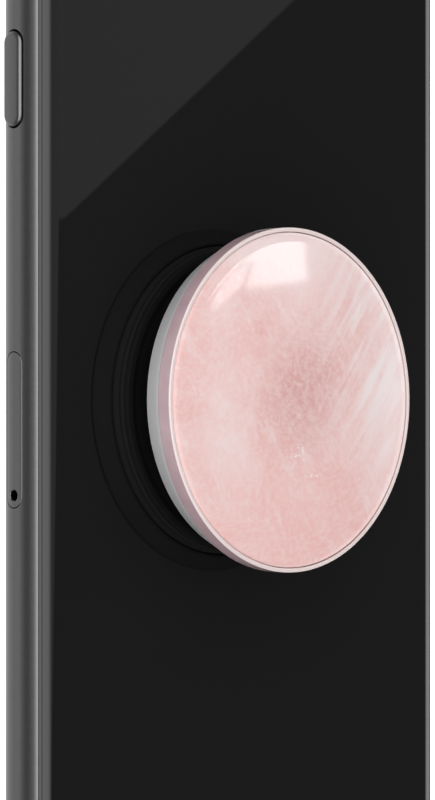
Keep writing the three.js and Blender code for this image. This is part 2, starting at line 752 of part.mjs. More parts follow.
// The head's carrier: a dish that widens to the cup, with the bayonet's keyhole underneath.
function carrier() {
  const dish = turned([
    [0, HEAD_LOW],
    [17.9, HEAD_LOW],
    [18.25, HEAD_LOW + 0.3],
    [19.5, HEAD_SPLIT - 0.6],
    [19.6, HEAD_SPLIT - GAP],
    [0, HEAD_SPLIT - GAP],
  ]);
  const room = rod(LOCK.lug + 0.3, THICK + LOCK.lugLow - 0.1, THICK + LOCK.lugHigh + 0.15, GRIP_X, 0, 36);
  const mouth = rod(LOCK.post + 0.15, THICK + HEAD_LOW - 1, THICK + LOCK.lugHigh, GRIP_X, 0, 36);
  const keyway = slab(
    roundedRect(LOCK.lugWidth + 0.4, 2 * LOCK.lug + 0.4, 1),
    THICK + HEAD_LOW - 1,
    THICK + LOCK.lugHigh,
    GRIP_X,
    0,
    3,
  );
  return cutAll(dish, [room, mouth, keyway]);
}

function cup() {
  const floor = HEAD_SPLIT + 0.5;
  return turned([
    [0, HEAD_SPLIT],
    [GRIP_RADIUS - 0.15, HEAD_SPLIT],
    [GRIP_RADIUS, HEAD_SPLIT + 0.15],
    [GRIP_RADIUS, HEAD_RIM - 0.15],
    [GRIP_RADIUS - 0.2, HEAD_RIM],
    [GRIP_RADIUS - 0.7, HEAD_RIM],
    [GRIP_RADIUS - 0.7, floor],
    [0, floor],
  ]);
}

// A low polished dome. Its edge is rounded, and its top is part of a sphere.
function stone() {
  const radius = GRIP_RADIUS - 0.75;
  const shoulder = { r: radius - 0.7, h: HEAD_RIM + 0.35 };
  const rise = STONE_TOP - shoulder.h;
  const sphere = (shoulder.r ** 2 + rise ** 2) / (2 * rise);
  const profile = [
    [0, HEAD_SPLIT + 0.5 + GAP],
    [radius, HEAD_SPLIT + 0.5 + GAP],
    [radius, HEAD_RIM - 0.2],
    [radius - 0.2, HEAD_RIM + 0.15],
  ];
  const steps = 6;
  for (let i = 0; i < steps; i++) {
    const r = shoulder.r * (1 - i / steps);
    profile.push([r, STONE_TOP - sphere + Math.sqrt(sphere ** 2 - r ** 2)]);
  }
  profile.push([0, STONE_TOP]);
  return turned(profile);
}

function addGrip() {
  const pad = rod(18.6, THICK + GAP, THICK + 0.8 - GAP, GRIP_X, 0, 36);
  addPart("grip_adhesive_pad", pad, "gasket");
  addPart("grip_base", gripBase(), "gripBlack");
  addPart("grip_lower_fold", lowerFold(), "gripBlack");
  addPart("grip_middle_ring", middleRing(), "gripBlack");
  addPart("grip_upper_fold", upperFold(), "gripBlack");
  addPart("grip_neck_plate", neckPlate(), "gripBlack");
  addPart("grip_carrier", carrier(), "gripGrey");
  addPart("grip_cup", cup(), "gripPink");
  addPart("grip_stone", stone(), "stone");
}

addHousing();
addScreen();
addKeys();
addSim();
addBoards();
addBottomEnd();
addCameras();
addCharging();
addGrip();

export default phone;
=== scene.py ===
import json
import math

import bpy
import bmesh
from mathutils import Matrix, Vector

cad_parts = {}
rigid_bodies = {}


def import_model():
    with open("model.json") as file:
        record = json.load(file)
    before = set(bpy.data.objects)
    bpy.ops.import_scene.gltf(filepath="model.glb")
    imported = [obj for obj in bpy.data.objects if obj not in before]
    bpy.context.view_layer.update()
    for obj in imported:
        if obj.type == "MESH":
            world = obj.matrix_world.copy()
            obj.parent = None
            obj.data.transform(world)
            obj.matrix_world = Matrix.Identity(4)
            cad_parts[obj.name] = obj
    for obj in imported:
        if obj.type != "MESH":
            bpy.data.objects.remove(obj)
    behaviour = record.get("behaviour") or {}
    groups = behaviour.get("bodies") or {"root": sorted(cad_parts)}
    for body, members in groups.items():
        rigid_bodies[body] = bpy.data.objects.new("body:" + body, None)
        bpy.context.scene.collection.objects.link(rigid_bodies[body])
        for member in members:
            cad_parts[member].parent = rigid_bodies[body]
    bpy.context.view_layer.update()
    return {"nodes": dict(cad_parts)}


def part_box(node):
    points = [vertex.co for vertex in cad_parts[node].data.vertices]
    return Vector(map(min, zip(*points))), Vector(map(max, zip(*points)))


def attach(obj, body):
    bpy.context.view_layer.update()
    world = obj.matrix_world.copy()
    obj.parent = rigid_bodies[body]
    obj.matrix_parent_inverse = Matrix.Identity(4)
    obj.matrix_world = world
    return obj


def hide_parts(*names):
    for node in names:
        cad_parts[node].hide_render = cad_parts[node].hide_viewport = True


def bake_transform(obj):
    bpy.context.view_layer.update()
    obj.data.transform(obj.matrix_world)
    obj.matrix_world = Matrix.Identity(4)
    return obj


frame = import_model()

# A slim smartphone lying on its screen, with a folding disc grip stuck to its glass back.
# Shapes are written in millimetres in the CAD's frame and scaled to metres when a mesh is made.
MM = 0.001

# ---- Sizes, as in the CAD -----------------------------------------------------------------------
SIDE = 33.65  # half width
END = 69.2  # half length
THICK = 7.3
CORNER = 10.5  # plan corner radius
EDGE = 3.2  # radius of the rounded sides
GLASS = 0.88
SEAM = 0.18
BAND_LOW = GLASS + SEAM
BAND_HIGH = THICK - GLASS - SEAM
WALL = 2.4
LIP = 0.07  # how far the band's edge reaches into the seam beside each glass
MIDDLE = THICK / 2
SIDE_Z = 3.2  # height of the side keys and the tray
GRIP_X = -5.6
LENS = (-22.0, 59.0)
FLASH = (-9.5, 59.0)
REAR_MIC = (-15.2, 59.0)
POWER_Y = 36.5
VOLUME_YS = {"volume_up_button": 36.5, "volume_down_button": 23.5}
MUTE_Y = 49.5
TRAY_Y = -3.4
TRAY_LENGTH, TRAY_WIDTH, TRAY_DEPTH = 17.7, 2.7, 1.1
PIN_Y = TRAY_Y - TRAY_LENGTH / 2 + 1.4
KEY_LENGTH, KEY_WIDTH, KEY_PROUD = 10.9, 2.8, 0.45
KEY_SLOT = 0.3  # how much longer and wider a key's slot is
MUTE_LOWERED = 0.4  # the mute switch rests this far below the middle of its slot
INSERT_Y = 60.4
HOME_Y = -61.0
EARPIECE_Y = 61.0
SCREW_X = 7.4
HOLES_X = [11 + 2.4 * i for i in range(6)]
CAMERA_TOP = THICK + 1.05
GRIP_RADIUS = 19.85
HEAD_LOW, HEAD_SPLIT, HEAD_RIM = 7.3, 10.9, 12.85  # heights above the back, half open
STONE_TOP = 14.5


# ---- Camera -------------------------------------------------------------------------------------
def make_camera():
    data = bpy.data.cameras.new("camera")
    data.lens = 252.2
    data.sensor_width = 36
    data.clip_end = 20
    camera = bpy.data.objects.new("camera", data)
    bpy.context.scene.collection.objects.link(camera)
    forward = Vector((0.70871, 0, -0.70552))
    right = Vector((0.70552, 0, 0.70871))
    up = right.cross(forward)
    for row in range(3):
        camera.matrix_world[row][0] = right[row]
        camera.matrix_world[row][1] = up[row]
        camera.matrix_world[row][2] = -forward[row]
    camera.location = (-0.4685, 0, 0.4688)
    bpy.context.scene.camera = camera


# ---- Mesh helpers -------------------------------------------------------------------------------
def make_mesh(name, verts, faces, sharp=35):
    """A closed mesh from points in millimetres, smooth except at corners over sharp degrees."""
    mesh = bpy.data.meshes.new(name)
    mesh.from_pydata([(x * MM, y * MM, z * MM) for x, y, z in verts], [], faces)
    tidy(mesh, sharp)
    return mesh


def tidy(mesh, sharp=35):
    work = bmesh.new()
    work.from_mesh(mesh)
    bmesh.ops.remove_doubles(work, verts=work.verts, dist=1e-7)
    bmesh.ops.recalc_face_normals(work, faces=work.faces)
    work.to_mesh(mesh)
    work.free()
    mesh.shade_smooth()
    mesh.set_sharp_from_angle(angle=math.radians(sharp))


def join_parts(parts):
    """One list of points and faces from several."""
    verts, faces = [], []
    for more_verts, more_faces in parts:
        start = len(verts)
        verts += more_verts
        faces += [tuple(start + i for i in face) for face in more_faces]
    return verts, faces


def loft(rings, loop=False, cap=True):
    """Faces between rings of equally many points. loop joins the last ring to the first."""
    n = len(rings[0])
    verts = [point for ring in rings for point in ring]
    faces = []
    for k in range(len(rings) if loop else len(rings) - 1):
        a, b = k * n, ((k + 1) % len(rings)) * n
        faces += [(a + i, a + (i + 1) % n, b + (i + 1) % n, b + i) for i in range(n)]
    if cap and not loop:
        faces.append(tuple(reversed(range(n))))
        last = (len(rings) - 1) * n
        faces.append(tuple(range(last, last + n)))
    return verts, faces


def add_piece(name, mesh, material, slot, *stands_for):
    """A piece that rides on nothing yet."""
    piece = bpy.data.objects.new(name, mesh)
    bpy.context.scene.collection.objects.link(piece)
    mesh.materials.clear()
    mesh.materials.append(MATERIALS[material])
    if stands_for:
        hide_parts(*stands_for)
    return piece


def place(name, mesh, material, body, slot, *stands_for):
    piece = add_piece(name, mesh, material, slot, *stands_for)
    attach(piece, body)
    return piece


def fillet(points, radius, steps=5):
    """Rounds the corners of an open or closed line of (x, y). radius is one number or one each."""
    out = []
    n = len(points)
    radii = radius if isinstance(radius, (list, tuple)) else [radius] * n
    for i, (x, y) in enumerate(points):
        here = Vector((x, y))
        before = Vector(points[i - 1]) - here
        after = Vector(points[(i + 1) % n]) - here
        r = radii[i]
        if r <= 0 or before.length < 1e-6 or after.length < 1e-6:
            out.append((x, y))
            continue
        half = before.angle(after) / 2
        back = min(r / math.tan(half), before.length * 0.49, after.length * 0.49)
        start = here + before.normalized() * back
        stop = here + after.normalized() * back
        for k in range(steps + 1):
            t = k / steps
            point = start.lerp(here, t).lerp(here.lerp(stop, t), t)
            out.append((point.x, point.y))
    return out


def lathe(profile, centre, steps=160):
    """Turns (radius, z) points round an upright axis. A profile that starts on the axis is open."""
    on_axis = profile[0][0] < 1e-6
    rings = [flat_ring(centre, z, circle(r, steps)) for r, z in profile if r >= 1e-6]
    return loft(rings, loop=not on_axis, cap=on_axis)


def rect_ring(half_x, half_y, radius, steps=16):
    """Points round a rectangle with round corners, counter-clockwise, as (u, v)."""
    ring = []
    for sx, sy, start in ((1, -1, -90), (1, 1, 0), (-1, 1, 90), (-1, -1, 180)):
        for i in range(steps + 1):
            a = math.radians(start + 90 * i / steps)
            u = sx * (half_x - radius) + radius * math.cos(a)
            v = sy * (half_y - radius) + radius * math.sin(a)
            ring.append((u, v))
    return ring


def pill_ring(length, width, inset=0.0, steps=14):
    half = max(width / 2 - inset, 0.002)
    return rect_ring(length / 2 - inset, half, half * 0.999, steps)


def circle(radius, steps=28):
    return [
        (radius * math.cos(2 * math.pi * i / steps), radius * math.sin(2 * math.pi * i / steps))
        for i in range(steps)
    ]


def side_ring(x, y, ring, z=SIDE_Z):
    """A ring that faces a long side, about (x, y, z)."""
    return [(x, y + u, z + v) for u, v in ring]


def end_ring(x, y, ring):
    """A ring that faces an end, about mid height."""
    return [(x + u, y, MIDDLE + v) for u, v in ring]


def flat_ring(centre, z, ring):
    """A level ring at height z."""
    return [(centre[0] + u, centre[1] + v, z) for u, v in ring]


def outline(inset, z, steps=20):
    return [(u, v, z) for u, v in rect_ring(SIDE - inset, END - inset, CORNER - inset, steps)]


# ---- The rounded envelope of the phone ------------------------------------------------------------
def edge_inset(z):
    """How far the phone's rounded side lies inside its widest outline at height z."""
    over = max(z - (THICK - EDGE), EDGE - z, 0)
    return EDGE - math.sqrt(max(EDGE * EDGE - over * over, 0))


def arc_heights(low, high, steps):
    """Heights spaced evenly along the rounded side."""
    def along(z):
        if z > THICK - EDGE:
            return 1 + math.asin(min((z - THICK + EDGE) / EDGE, 1))
        if z < EDGE:
            return -1 - math.asin(min((EDGE - z) / EDGE, 1))
        return (z - MIDDLE) / (THICK / 2 - EDGE)

    def height(s):
        if s > 1:
            return THICK - EDGE + EDGE * math.sin(s - 1)
        if s < -1:
            return EDGE - EDGE * math.sin(-s - 1)
        return MIDDLE + s * (THICK / 2 - EDGE)

    a, b = along(low), along(high)
    inner = [height(a + (b - a) * i / steps) for i in range(steps + 1)]
    return [low] + inner[1:-1] + [high]


def envelope_at(point):
    """(outward normal, distance inside) of the phone's envelope near a point in millimetres."""
    x, y, z = point
    qx, qy = abs(x) - (SIDE - CORNER), abs(y) - (END - CORNER)
    if qx > 0 and qy > 0:
        far = math.hypot(qx, qy)
        plan = Vector((math.copysign(qx, x), math.copysign(qy, y), 0)) / far
        inset = CORNER - far
    elif SIDE - abs(x) < END - abs(y):
        plan, inset = Vector((math.copysign(1, x), 0, 0)), SIDE - abs(x)
    else:
        plan, inset = Vector((0, math.copysign(1, y), 0)), END - abs(y)
    over = z - (THICK - EDGE) if z > MIDDLE else z - EDGE
    if (z > MIDDLE) != (over > 0):
        over = 0
    out = max(EDGE - inset, 0)
    normal = plan * out + Vector((0, 0, over))
    if normal.length < 1e-6:
        return Vector((0, 0, 1 if z > MIDDLE else -1)), 9
    return normal.normalized(), EDGE - math.hypot(out, over)


def follow_envelope(mesh):
    """Gives the outside faces the exact normals of the rounded envelope."""
    normals = [Vector(n.vector) for n in mesh.corner_normals]
    for face in mesh.polygons:
        for corner in face.loop_indices:
            point = mesh.vertices[mesh.loops[corner].vertex_index].co / MM
            normal, depth = envelope_at(point)
            if abs(depth) < 0.02 and face.normal.dot(normal) > 0.9:
                normals[corner] = normal
    mesh.normals_split_custom_set([tuple(n) for n in normals])


# ---- Cutting ------------------------------------------------------------------------------------
def carve(mesh, cutters, sharp=30):
    """The mesh less the cutters, which are (verts, faces) lists that don't touch each other."""
    verts, faces = join_parts(cutters)
    tool = bpy.data.objects.new("cutter", make_mesh("cutter", verts, faces))
    blank = bpy.data.objects.new("blank", mesh)
    for obj in (tool, blank):
        bpy.context.scene.collection.objects.link(obj)
    cut = blank.modifiers.new("cut", "BOOLEAN")
    cut.operation = "DIFFERENCE"
    cut.solver = "EXACT"
    cut.object = tool
    graph = bpy.context.evaluated_depsgraph_get()
    result = bpy.data.meshes.new_from_object(blank.evaluated_get(graph))
    for obj in (tool, blank):
        bpy.data.objects.remove(obj)
    tidy(result, sharp)
    return result


def side_cutter(side, ring, y, depth, chamfer=0.08):
    """A slot through a long side. ring is (y, z) about its middle; its mouth is chamfered."""
    rings = []
    for reach in ("in", "low", "high", "out"):
        points = []
        for u, v in ring:
            z = SIDE_Z + v
            surface = SIDE - edge_inset(z)
            grow = chamfer if reach in ("high", "out") else 0
            size = math.hypot(u, v) or 1
            u2, v2 = u * (1 + grow / size), v * (1 + grow / size)
            if reach == "in":
                x = SIDE - depth
            elif reach == "low":
                x = surface - chamfer * 0.7
            elif reach == "high":
                x = surface + chamfer * 0.3
            else:
                x = SIDE + 1
            points.append((side * x, y + u2, SIDE_Z + v2))
        rings.append(points)
    return loft(rings)


def end_cutter(ring, x, depth, chamfer=0.08):
    """A hole through the bottom edge. ring is (x, z) about its middle."""
    rings = []
    for reach, grow in ((END - depth, 0), (END - chamfer, 0), (END + 0.02, 1), (END + 1, 1)):
        points = []
        for u, v in ring:
            size = math.hypot(u, v) or 1
            k = 1 + grow * chamfer * 1.2 / size
            points.append((x + u * k, -reach, MIDDLE + v * k))
        rings.append(points)
    return loft(rings)


def upright_cutter(radius, centre, low, high, steps=96):
    return loft([flat_ring(centre, z, circle(radius, steps)) for z in (low, high)])


# ---- Materials ------------------------------------------------------------------------------------
class Graph:
    """A node tree with short calls for its arithmetic."""

    def __init__(self, owner):
        owner.use_nodes = True
        self.nodes = owner.node_tree.nodes
        self.links = owner.node_tree.links

    def fill(self, socket, value):
        """Feeds a socket from another node, or gives it a number or a colour."""
        if isinstance(value, bpy.types.NodeSocket):
            self.links.new(value, socket)
        elif isinstance(value, tuple):
            socket.default_value = (*value, 1)
        else:
            socket.default_value = value

    def math(self, kind, *values):
        node = self.nodes.new("ShaderNodeMath")
        node.operation = kind
        for socket, value in zip(node.inputs, values):
            self.fill(socket, value)
        return node.outputs[0]

    def step(self, value, low, high):
        """0 below low and 1 above high, or the other way round where low is over high."""
        node = self.nodes.new("ShaderNodeMapRange")
        node.interpolation_type = "SMOOTHSTEP"
        node.inputs["From Min"].default_value = min(low, high)
        node.inputs["From Max"].default_value = max(low, high)
        node.inputs["To Min"].default_value = 0.0 if low < high else 1.0
        node.inputs["To Max"].default_value = 1.0 if low < high else 0.0
        self.links.new(value, node.inputs["Value"])
        return node.outputs["Result"]

    def split(self, vector):
        node = self.nodes.new("ShaderNodeSeparateXYZ")
        self.links.new(vector, node.inputs[0])
        return node.outputs

    def product(self, *values):
        whole = values[0]
        for value in values[1:]:
            whole = self.math("MULTIPLY", whole, value)
        return whole

    def total(self, *values):
        whole = values[0]
        for value in values[1:]:
            whole = self.math("ADD", whole, value)
        return whole


class Paint(Graph):
    """A node material with a Principled shader and short calls for what feeds it."""

    def __init__(self, name, color, roughness, **sockets):
        self.material = bpy.data.materials.new(name)
        super().__init__(self.material)
        self.shader = self.nodes["Principled BSDF"]
        self.set("Base Color", (*color, 1))
        self.set("Roughness", roughness)
        for key, value in sockets.items():
            self.set(key.replace("_", " "), value)
        self.place = self.nodes.new("ShaderNodeTexCoord").outputs["Object"]

    def set(self, socket, value):
        self.shader.inputs[socket].default_value = value

    def mapped(self, place, scale, turn):
        """Coordinates of an oval about place, turned in plan."""
        node = self.nodes.new("ShaderNodeMapping")
        node.vector_type = "TEXTURE"
        node.inputs["Location"].default_value = place
        node.inputs["Rotation"].default_value = (0, 0, math.radians(turn))
        node.inputs["Scale"].default_value = scale
        self.links.new(self.place, node.inputs["Vector"])
        return node.outputs["Vector"]

    def slanted(self, across, along, turn):
        """Coordinates for streaks of that width and length in metres, turned from the Y axis."""
        return self.mapped((0, 0, 0), (across, along, 0.02), turn)

    def noise(self, scale, detail=3.0, rough=0.5, vector=None, distortion=0.0):
        node = self.nodes.new("ShaderNodeTexNoise")
        node.inputs["Scale"].default_value = scale
        node.inputs["Detail"].default_value = detail
        node.inputs["Roughness"].default_value = rough
        node.inputs["Distortion"].default_value = distortion
        self.links.new(vector or self.place, node.inputs["Vector"])
        return node.outputs["Fac"]

    def ramp(self, source, *stops):
        node = self.nodes.new("ShaderNodeValToRGB")
        ramp = node.color_ramp
        while len(ramp.elements) < len(stops):
            ramp.elements.new(0.5)
        for element, (at, color) in zip(ramp.elements, stops):
            element.position = at
            element.color = (*color, 1)
        self.links.new(source, node.inputs["Fac"])
        return node.outputs["Color"]

    def span(self, source, low, high):
        """source, 0 to 1, spread between two numbers."""
        node = self.nodes.new("ShaderNodeMapRange")
        node.inputs["To Min"].default_value = low
        node.inputs["To Max"].default_value = high
        self.links.new(source, node.inputs["Value"])
        return node.outputs["Result"]

    def mix(self, factor, first, second):
        node = self.nodes.new("ShaderNodeMix")
        node.data_type = "RGBA"
        for socket, value in ((0, factor), (6, first), (7, second)):
            self.fill(node.inputs[socket], value)
        return node.outputs[2]

    def turns(self, scale, **kinds):
        """Evenly spaced bands, or rings where kinds says so."""
        node = self.nodes.new("ShaderNodeTexWave")
        for key, value in kinds.items():
            setattr(node, key, value)
        node.inputs["Scale"].default_value = scale
        self.links.new(self.place, node.inputs["Vector"])
        return node.outputs["Fac"]

    def cells(self, scale, feature="F1"):
        """Distance from the middle, or the edge, of scattered cells."""
        node = self.nodes.new("ShaderNodeTexVoronoi")
        node.feature = feature
        node.inputs["Scale"].default_value = scale
        self.links.new(self.place, node.inputs["Vector"])
        return node.outputs["Distance"]

    def warped(self, scale, reach):
        """The object's coordinates pushed about by noise, so that shapes have uneven edges."""
        noise = self.nodes.new("ShaderNodeTexNoise")
        noise.inputs["Scale"].default_value = scale
        noise.inputs["Detail"].default_value = 4
        self.links.new(self.place, noise.inputs["Vector"])
        steps = []
        for kind in ("SUBTRACT", "SCALE", "ADD"):
            node = self.nodes.new("ShaderNodeVectorMath")
            node.operation = kind
            steps.append(node)
        self.links.new(noise.outputs["Color"], steps[0].inputs[0])
        steps[0].inputs[1].default_value = (0.5, 0.5, 0.5)
        self.links.new(steps[0].outputs[0], steps[1].inputs[0])
        steps[1].inputs["Scale"].default_value = reach
        self.links.new(steps[1].outputs[0], steps[2].inputs[0])
        self.links.new(self.place, steps[2].inputs[1])
        return steps[2].outputs[0]

    def blob(self, x, y, wide, tall, turn=0.0):
        """1 in the middle of an upright oval column, falling softly to 0 at its edge."""
        far = self.nodes.new("ShaderNodeVectorMath")
        far.operation = "LENGTH"
        self.links.new(self.mapped((x, y, 0), (wide, tall, 1000), turn), far.inputs[0])
        return self.step(far.outputs["Value"], 1.0, 0.0)

    def feed(self, socket, source):
        self.links.new(source, self.shader.inputs[socket])

    def bump(self, height, strength, distance):
        node = self.nodes.new("ShaderNodeBump")
        node.inputs["Strength"].default_value = strength
        node.inputs["Distance"].default_value = distance
        self.links.new(height, node.inputs["Height"])
        self.links.new(node.outputs["Normal"], self.shader.inputs["Normal"])


def shade(color, factor):
    return tuple(c * factor for c in color)


def speckled(name, color, roughness, scale=900, spread=0.12, rough_spread=0.06, bump=0.0, **sockets):
    """A plain finish with slight variation in colour and gloss, and a fine grain."""
    paint = Paint(name, color, roughness, **sockets)
    cloud = paint.noise(scale, 4)
    paint.feed(
        "Base Color",
        paint.ramp(cloud, (0.3, shade(color, 1 - spread)), (0.7, shade(color, 1 + spread))),
    )
    paint.feed("Roughness", paint.span(cloud, roughness - rough_spread, roughness + rough_spread))
    if bump:
        paint.bump(paint.noise(scale * 6, 2), bump, 0.00003)
    return paint.material


MATERIALS = {}


def make_materials():
    m = MATERIALS
    metal = (0.145, 0.145, 0.148)
    m["frame"] = speckled(
        "anodised_band", metal, 0.24, 1500, 0.03, 0.02, bump=0.03, Metallic=1.0
    )
    m["key"] = speckled(
        "anodised_key", (0.15, 0.15, 0.153), 0.25, 1500, 0.03, 0.02, bump=0.03, Metallic=1.0
    )
    m["rear_glass"] = speckled("back_glass", (0.0080, 0.0080, 0.0082), 0.006, 60, 0.02, 0.003)
    m["front_glass"] = front_glass_material()
    m["clear_glass"] = speckled(
        "lens_glass", (0.02, 0.024, 0.032), 0.03, 300, 0.1, 0.01, Transmission_Weight=0.7
    )
    m["steel"] = speckled("steel", (0.5, 0.5, 0.51), 0.32, 1200, 0.06, 0.05, bump=0.05, Metallic=1.0)
    m["copper"] = winding_material()
    m["board"] = speckled("board_green", (0.012, 0.06, 0.03), 0.45, 700, 0.3, 0.08, bump=0.1)
    m["chip"] = speckled("chip_black", (0.02, 0.02, 0.022), 0.5, 1500, 0.1, 0.05, bump=0.05)
    m["battery"] = speckled("battery_foil", (0.03, 0.03, 0.033), 0.42, 500, 0.15, 0.08, bump=0.06)
    m["black_plastic"] = speckled("black_plastic", (0.02, 0.02, 0.02), 0.5, 2500, 0.1, 0.06, bump=0.1)
    m["gasket"] = speckled("gasket_black", (0.006, 0.006, 0.006), 0.8, 2500, 0.1, 0.05)
    m["gasket_line"] = speckled("gasket_line", (0.03, 0.03, 0.03), 0.3, 2500, 0.05, 0.02)
    m["display"] = speckled("display_black", (0.004, 0.004, 0.005), 0.15, 400, 0.1, 0.03)
    m["insert"] = speckled("antenna_insert", (0.075, 0.075, 0.077), 0.38, 2500, 0.05, 0.04)
    m["adhesive"] = speckled("adhesive_foam", (0.03, 0.03, 0.03), 0.85, 3000, 0.2, 0.05, bump=0.3)
    dull = {"Specular_IOR_Level": 0.0}
    m["grip_black"] = speckled(
        "grip_plastic", (0.0085, 0.0085, 0.0086), 0.42, 1800, 0.06, 0.05, bump=0.04, **dull
    )
    m["grip_fold"] = speckled(
        "grip_elastomer", (0.011, 0.011, 0.0111), 0.5, 1800, 0.08, 0.06, bump=0.06, **dull
    )
    # painted light: a lighter copy of the fold elastomer, lifting the shade under the disc
    m["grip_fold_painted_lighter"] = speckled(
        "grip_elastomer_painted_lighter", (0.012, 0.012, 0.0122), 0.5, 1800, 0.08, 0.06, bump=0.06, **dull
    )
    m["grip_grey"] = speckled("carrier_grey", (0.39, 0.39, 0.395), 0.3, 700, 0.02, 0.04)
    m["grip_pink"] = cup_material()
    m["stone"] = stone_material()
    m["gold"] = speckled("contact_gold", (0.75, 0.5, 0.18), 0.25, 1500, 0.06, 0.05, Metallic=1.0)
    m["card"] = speckled("card_plastic", (0.62, 0.62, 0.6), 0.4, 1500, 0.03, 0.05)
    m["barrel"] = speckled("lens_barrel", (0.01, 0.01, 0.011), 0.3, 1500, 0.1, 0.05)
    m["coating"] = speckled(
        "lens_coating", (0.01, 0.012, 0.03), 0.04, 200, 0.2, 0.01, Coat_Weight=1.0, Coat_Roughness=0.02
    )
    m["led"] = led_material()
    m["weave"] = weave_material()


def front_glass_material():
    """Black glass whose display window is a shade lighter than its border."""
    border, window = (0.0015, 0.0015, 0.0016), (0.006, 0.0065, 0.008)
    paint = Paint("screen_glass", border, 0.03)
    x, y, _ = paint.split(paint.place)
    within_x = paint.math("LESS_THAN", paint.math("ABSOLUTE", x), 0.02925)
    within_y = paint.math("LESS_THAN", paint.math("ABSOLUTE", y), 0.052)
    inside = paint.product(within_x, within_y)
    paint.feed("Base Color", paint.mix(inside, border, window))
    return paint.material


def winding_material():
    """Copper turns: fine rings about the coil's middle."""
    paint = Paint("coil_copper", (0.55, 0.22, 0.1), 0.35, Metallic=1.0)
    turns = paint.turns(400, wave_type="RINGS", rings_direction="Z")
    color = paint.ramp(turns, (0.2, (0.3, 0.1, 0.04)), (0.7, (0.65, 0.28, 0.13)))
    paint.feed("Base Color", color)
    paint.bump(turns, 0.5, 0.0001)
    return paint.material


def led_material():
    """A flash window with the fine ridges of its moulded lens."""
    paint = Paint("flash_window", (0.75, 0.68, 0.5), 0.2, Coat_Weight=1.0, Coat_Roughness=0.03)
    ridges = paint.turns(500)
    color = paint.ramp(ridges, (0.0, (0.6, 0.52, 0.34)), (1.0, (0.85, 0.8, 0.66)))
    paint.feed("Base Color", color)
    paint.bump(ridges, 0.4, 0.0001)
    return paint.material


def cup_material():
    """Mauve lacquer with a painted highlight: the lip is painted nearly white."""
    paint = Paint("cup_mauve_painted_lip_highlight", (0.33, 0.235, 0.255), 0.1)
    _, _, height = paint.split(paint.place)
    # painted highlight: the lip's top is mixed towards near white to stand in for the rim's highlight
    lip = paint.nodes.new("ShaderNodeMapRange")
    lip.inputs["From Min"].default_value = (THICK + HEAD_RIM - 0.23) * MM
    lip.inputs["From Max"].default_value = (THICK + HEAD_RIM - 0.09) * MM
    paint.links.new(height, lip.inputs["Value"])
    cloud = paint.noise(500, 4)
    side = paint.ramp(cloud, (0.3, (0.31, 0.22, 0.24)), (0.7, (0.35, 0.25, 0.27)))
    paint.feed("Base Color", paint.mix(lip.outputs["Result"], side, (0.70, 0.59, 0.575)))
    return paint.material


def weave_material():
    """A fine woven screen with dark pores."""
    paint = Paint("woven_screen", (0.05, 0.05, 0.052), 0.4, Metallic=0.8)
    pores = paint.cells(4500)
    color = paint.ramp(pores, (0.25, (0.004, 0.004, 0.004)), (0.5, (0.12, 0.12, 0.125)))
    paint.feed("Base Color", color)
    paint.bump(pores, 0.6, 0.00005)
    return paint.material


def stone_material():
    """Cloudy pink quartz: a dusty middle, salmon below, pale slanting veils, fine veins and specks."""
    paint = Paint("pink_quartz", (0.732, 0.455, 0.440), 0.05)
    x0 = GRIP_X * MM
    still = paint.place
    paint.place = paint.warped(90, 0.005)
    pale, salmon, dusty = (0.773, 0.651, 0.643), (0.757, 0.452, 0.435), (0.602, 0.325, 0.313)
    clouds = paint.noise(110, 6, 0.6, distortion=0.5)
    color = paint.ramp(
        clouds,
        (0.32, (0.716, 0.407, 0.391)),
        (0.46, (0.748, 0.472, 0.455)),
        (0.58, (0.765, 0.537, 0.521)),
        (0.72, (0.773, 0.635, 0.626)),
    )
    # broad areas
    low = paint.blob(x0 - 0.001, -0.016, 0.024, 0.017)
    color = paint.mix(paint.product(low, 0.85), color, salmon)
    top = paint.blob(x0, 0.018, 0.024, 0.012)
    color = paint.mix(paint.product(top, 0.75), color, pale)
    right = paint.blob(x0 + 0.017, 0.004, 0.011, 0.022)
    color = paint.mix(paint.product(right, 0.55), color, pale)
    left = paint.blob(x0 - 0.0125, 0.001, 0.005, 0.008)
    color = paint.mix(paint.product(left, 0.3), color, pale)
    core = paint.blob(x0 + 0.0002, 0.0012, 0.0105, 0.0115, -25)
    color = paint.mix(paint.product(core, 0.85), color, dusty)
    # slanting veils, strongest on the side away from the cup's lit wall
    warped = paint.place
    paint.place = still
    space = paint.slanted(0.0017, 0.014, -40)
    veils = paint.ramp(
        paint.noise(1.0, 4, 0.55, vector=space), (0.44, (0, 0, 0)), (0.60, (1, 1, 1))
    )
    paint.place = warped
    side = paint.blob(x0 + 0.013, 0.007, 0.0145, 0.022)
    color = paint.mix(paint.product(veils, paint.product(side, 0.9)), color, (0.789, 0.732, 0.728))
    faint = paint.ramp(
        paint.noise(1.0, 5, 0.6, vector=paint.slanted(0.0014, 0.008, 35)),
        (0.55, (0, 0, 0)),
        (0.70, (0.4, 0.4, 0.4)),
    )
    color = paint.mix(faint, color, (0.781, 0.651, 0.643))
    # hair-fine pale veins between the clouds
    vein = paint.ramp(paint.cells(230, "DISTANCE_TO_EDGE"), (0.0, (0.3, 0.3, 0.3)), (0.022, (0, 0, 0)))
    patchy = paint.ramp(paint.noise(160, 2), (0.52, (0, 0, 0)), (0.66, (1, 1, 1)))
    color = paint.mix(paint.product(vein, patchy), color, (0.789, 0.716, 0.707))
    # grain and bright specks
    grain = paint.ramp(paint.noise(1500, 4, 0.7), (0.42, (0, 0, 0)), (0.72, (0.5, 0.5, 0.5)))
    color = paint.mix(grain, color, (0.781, 0.667, 0.659))
    spots = paint.ramp(paint.noise(2300, 2, 0.5), (0.60, (0, 0, 0)), (0.66, (1, 1, 1)))
    for cx, cy, size in ((0.0, -0.0064, 0.0028), (-0.0074, -0.0128, 0.0018), (0.002, -0.009, 0.002)):
        near = paint.blob(x0 + cx, cy, size, size * 0.7, 40)
        color = paint.mix(paint.product(spots, near), color, (0.798, 0.781, 0.781))
    paint.place = still
    paint.feed("Base Color", color)
    return paint.material


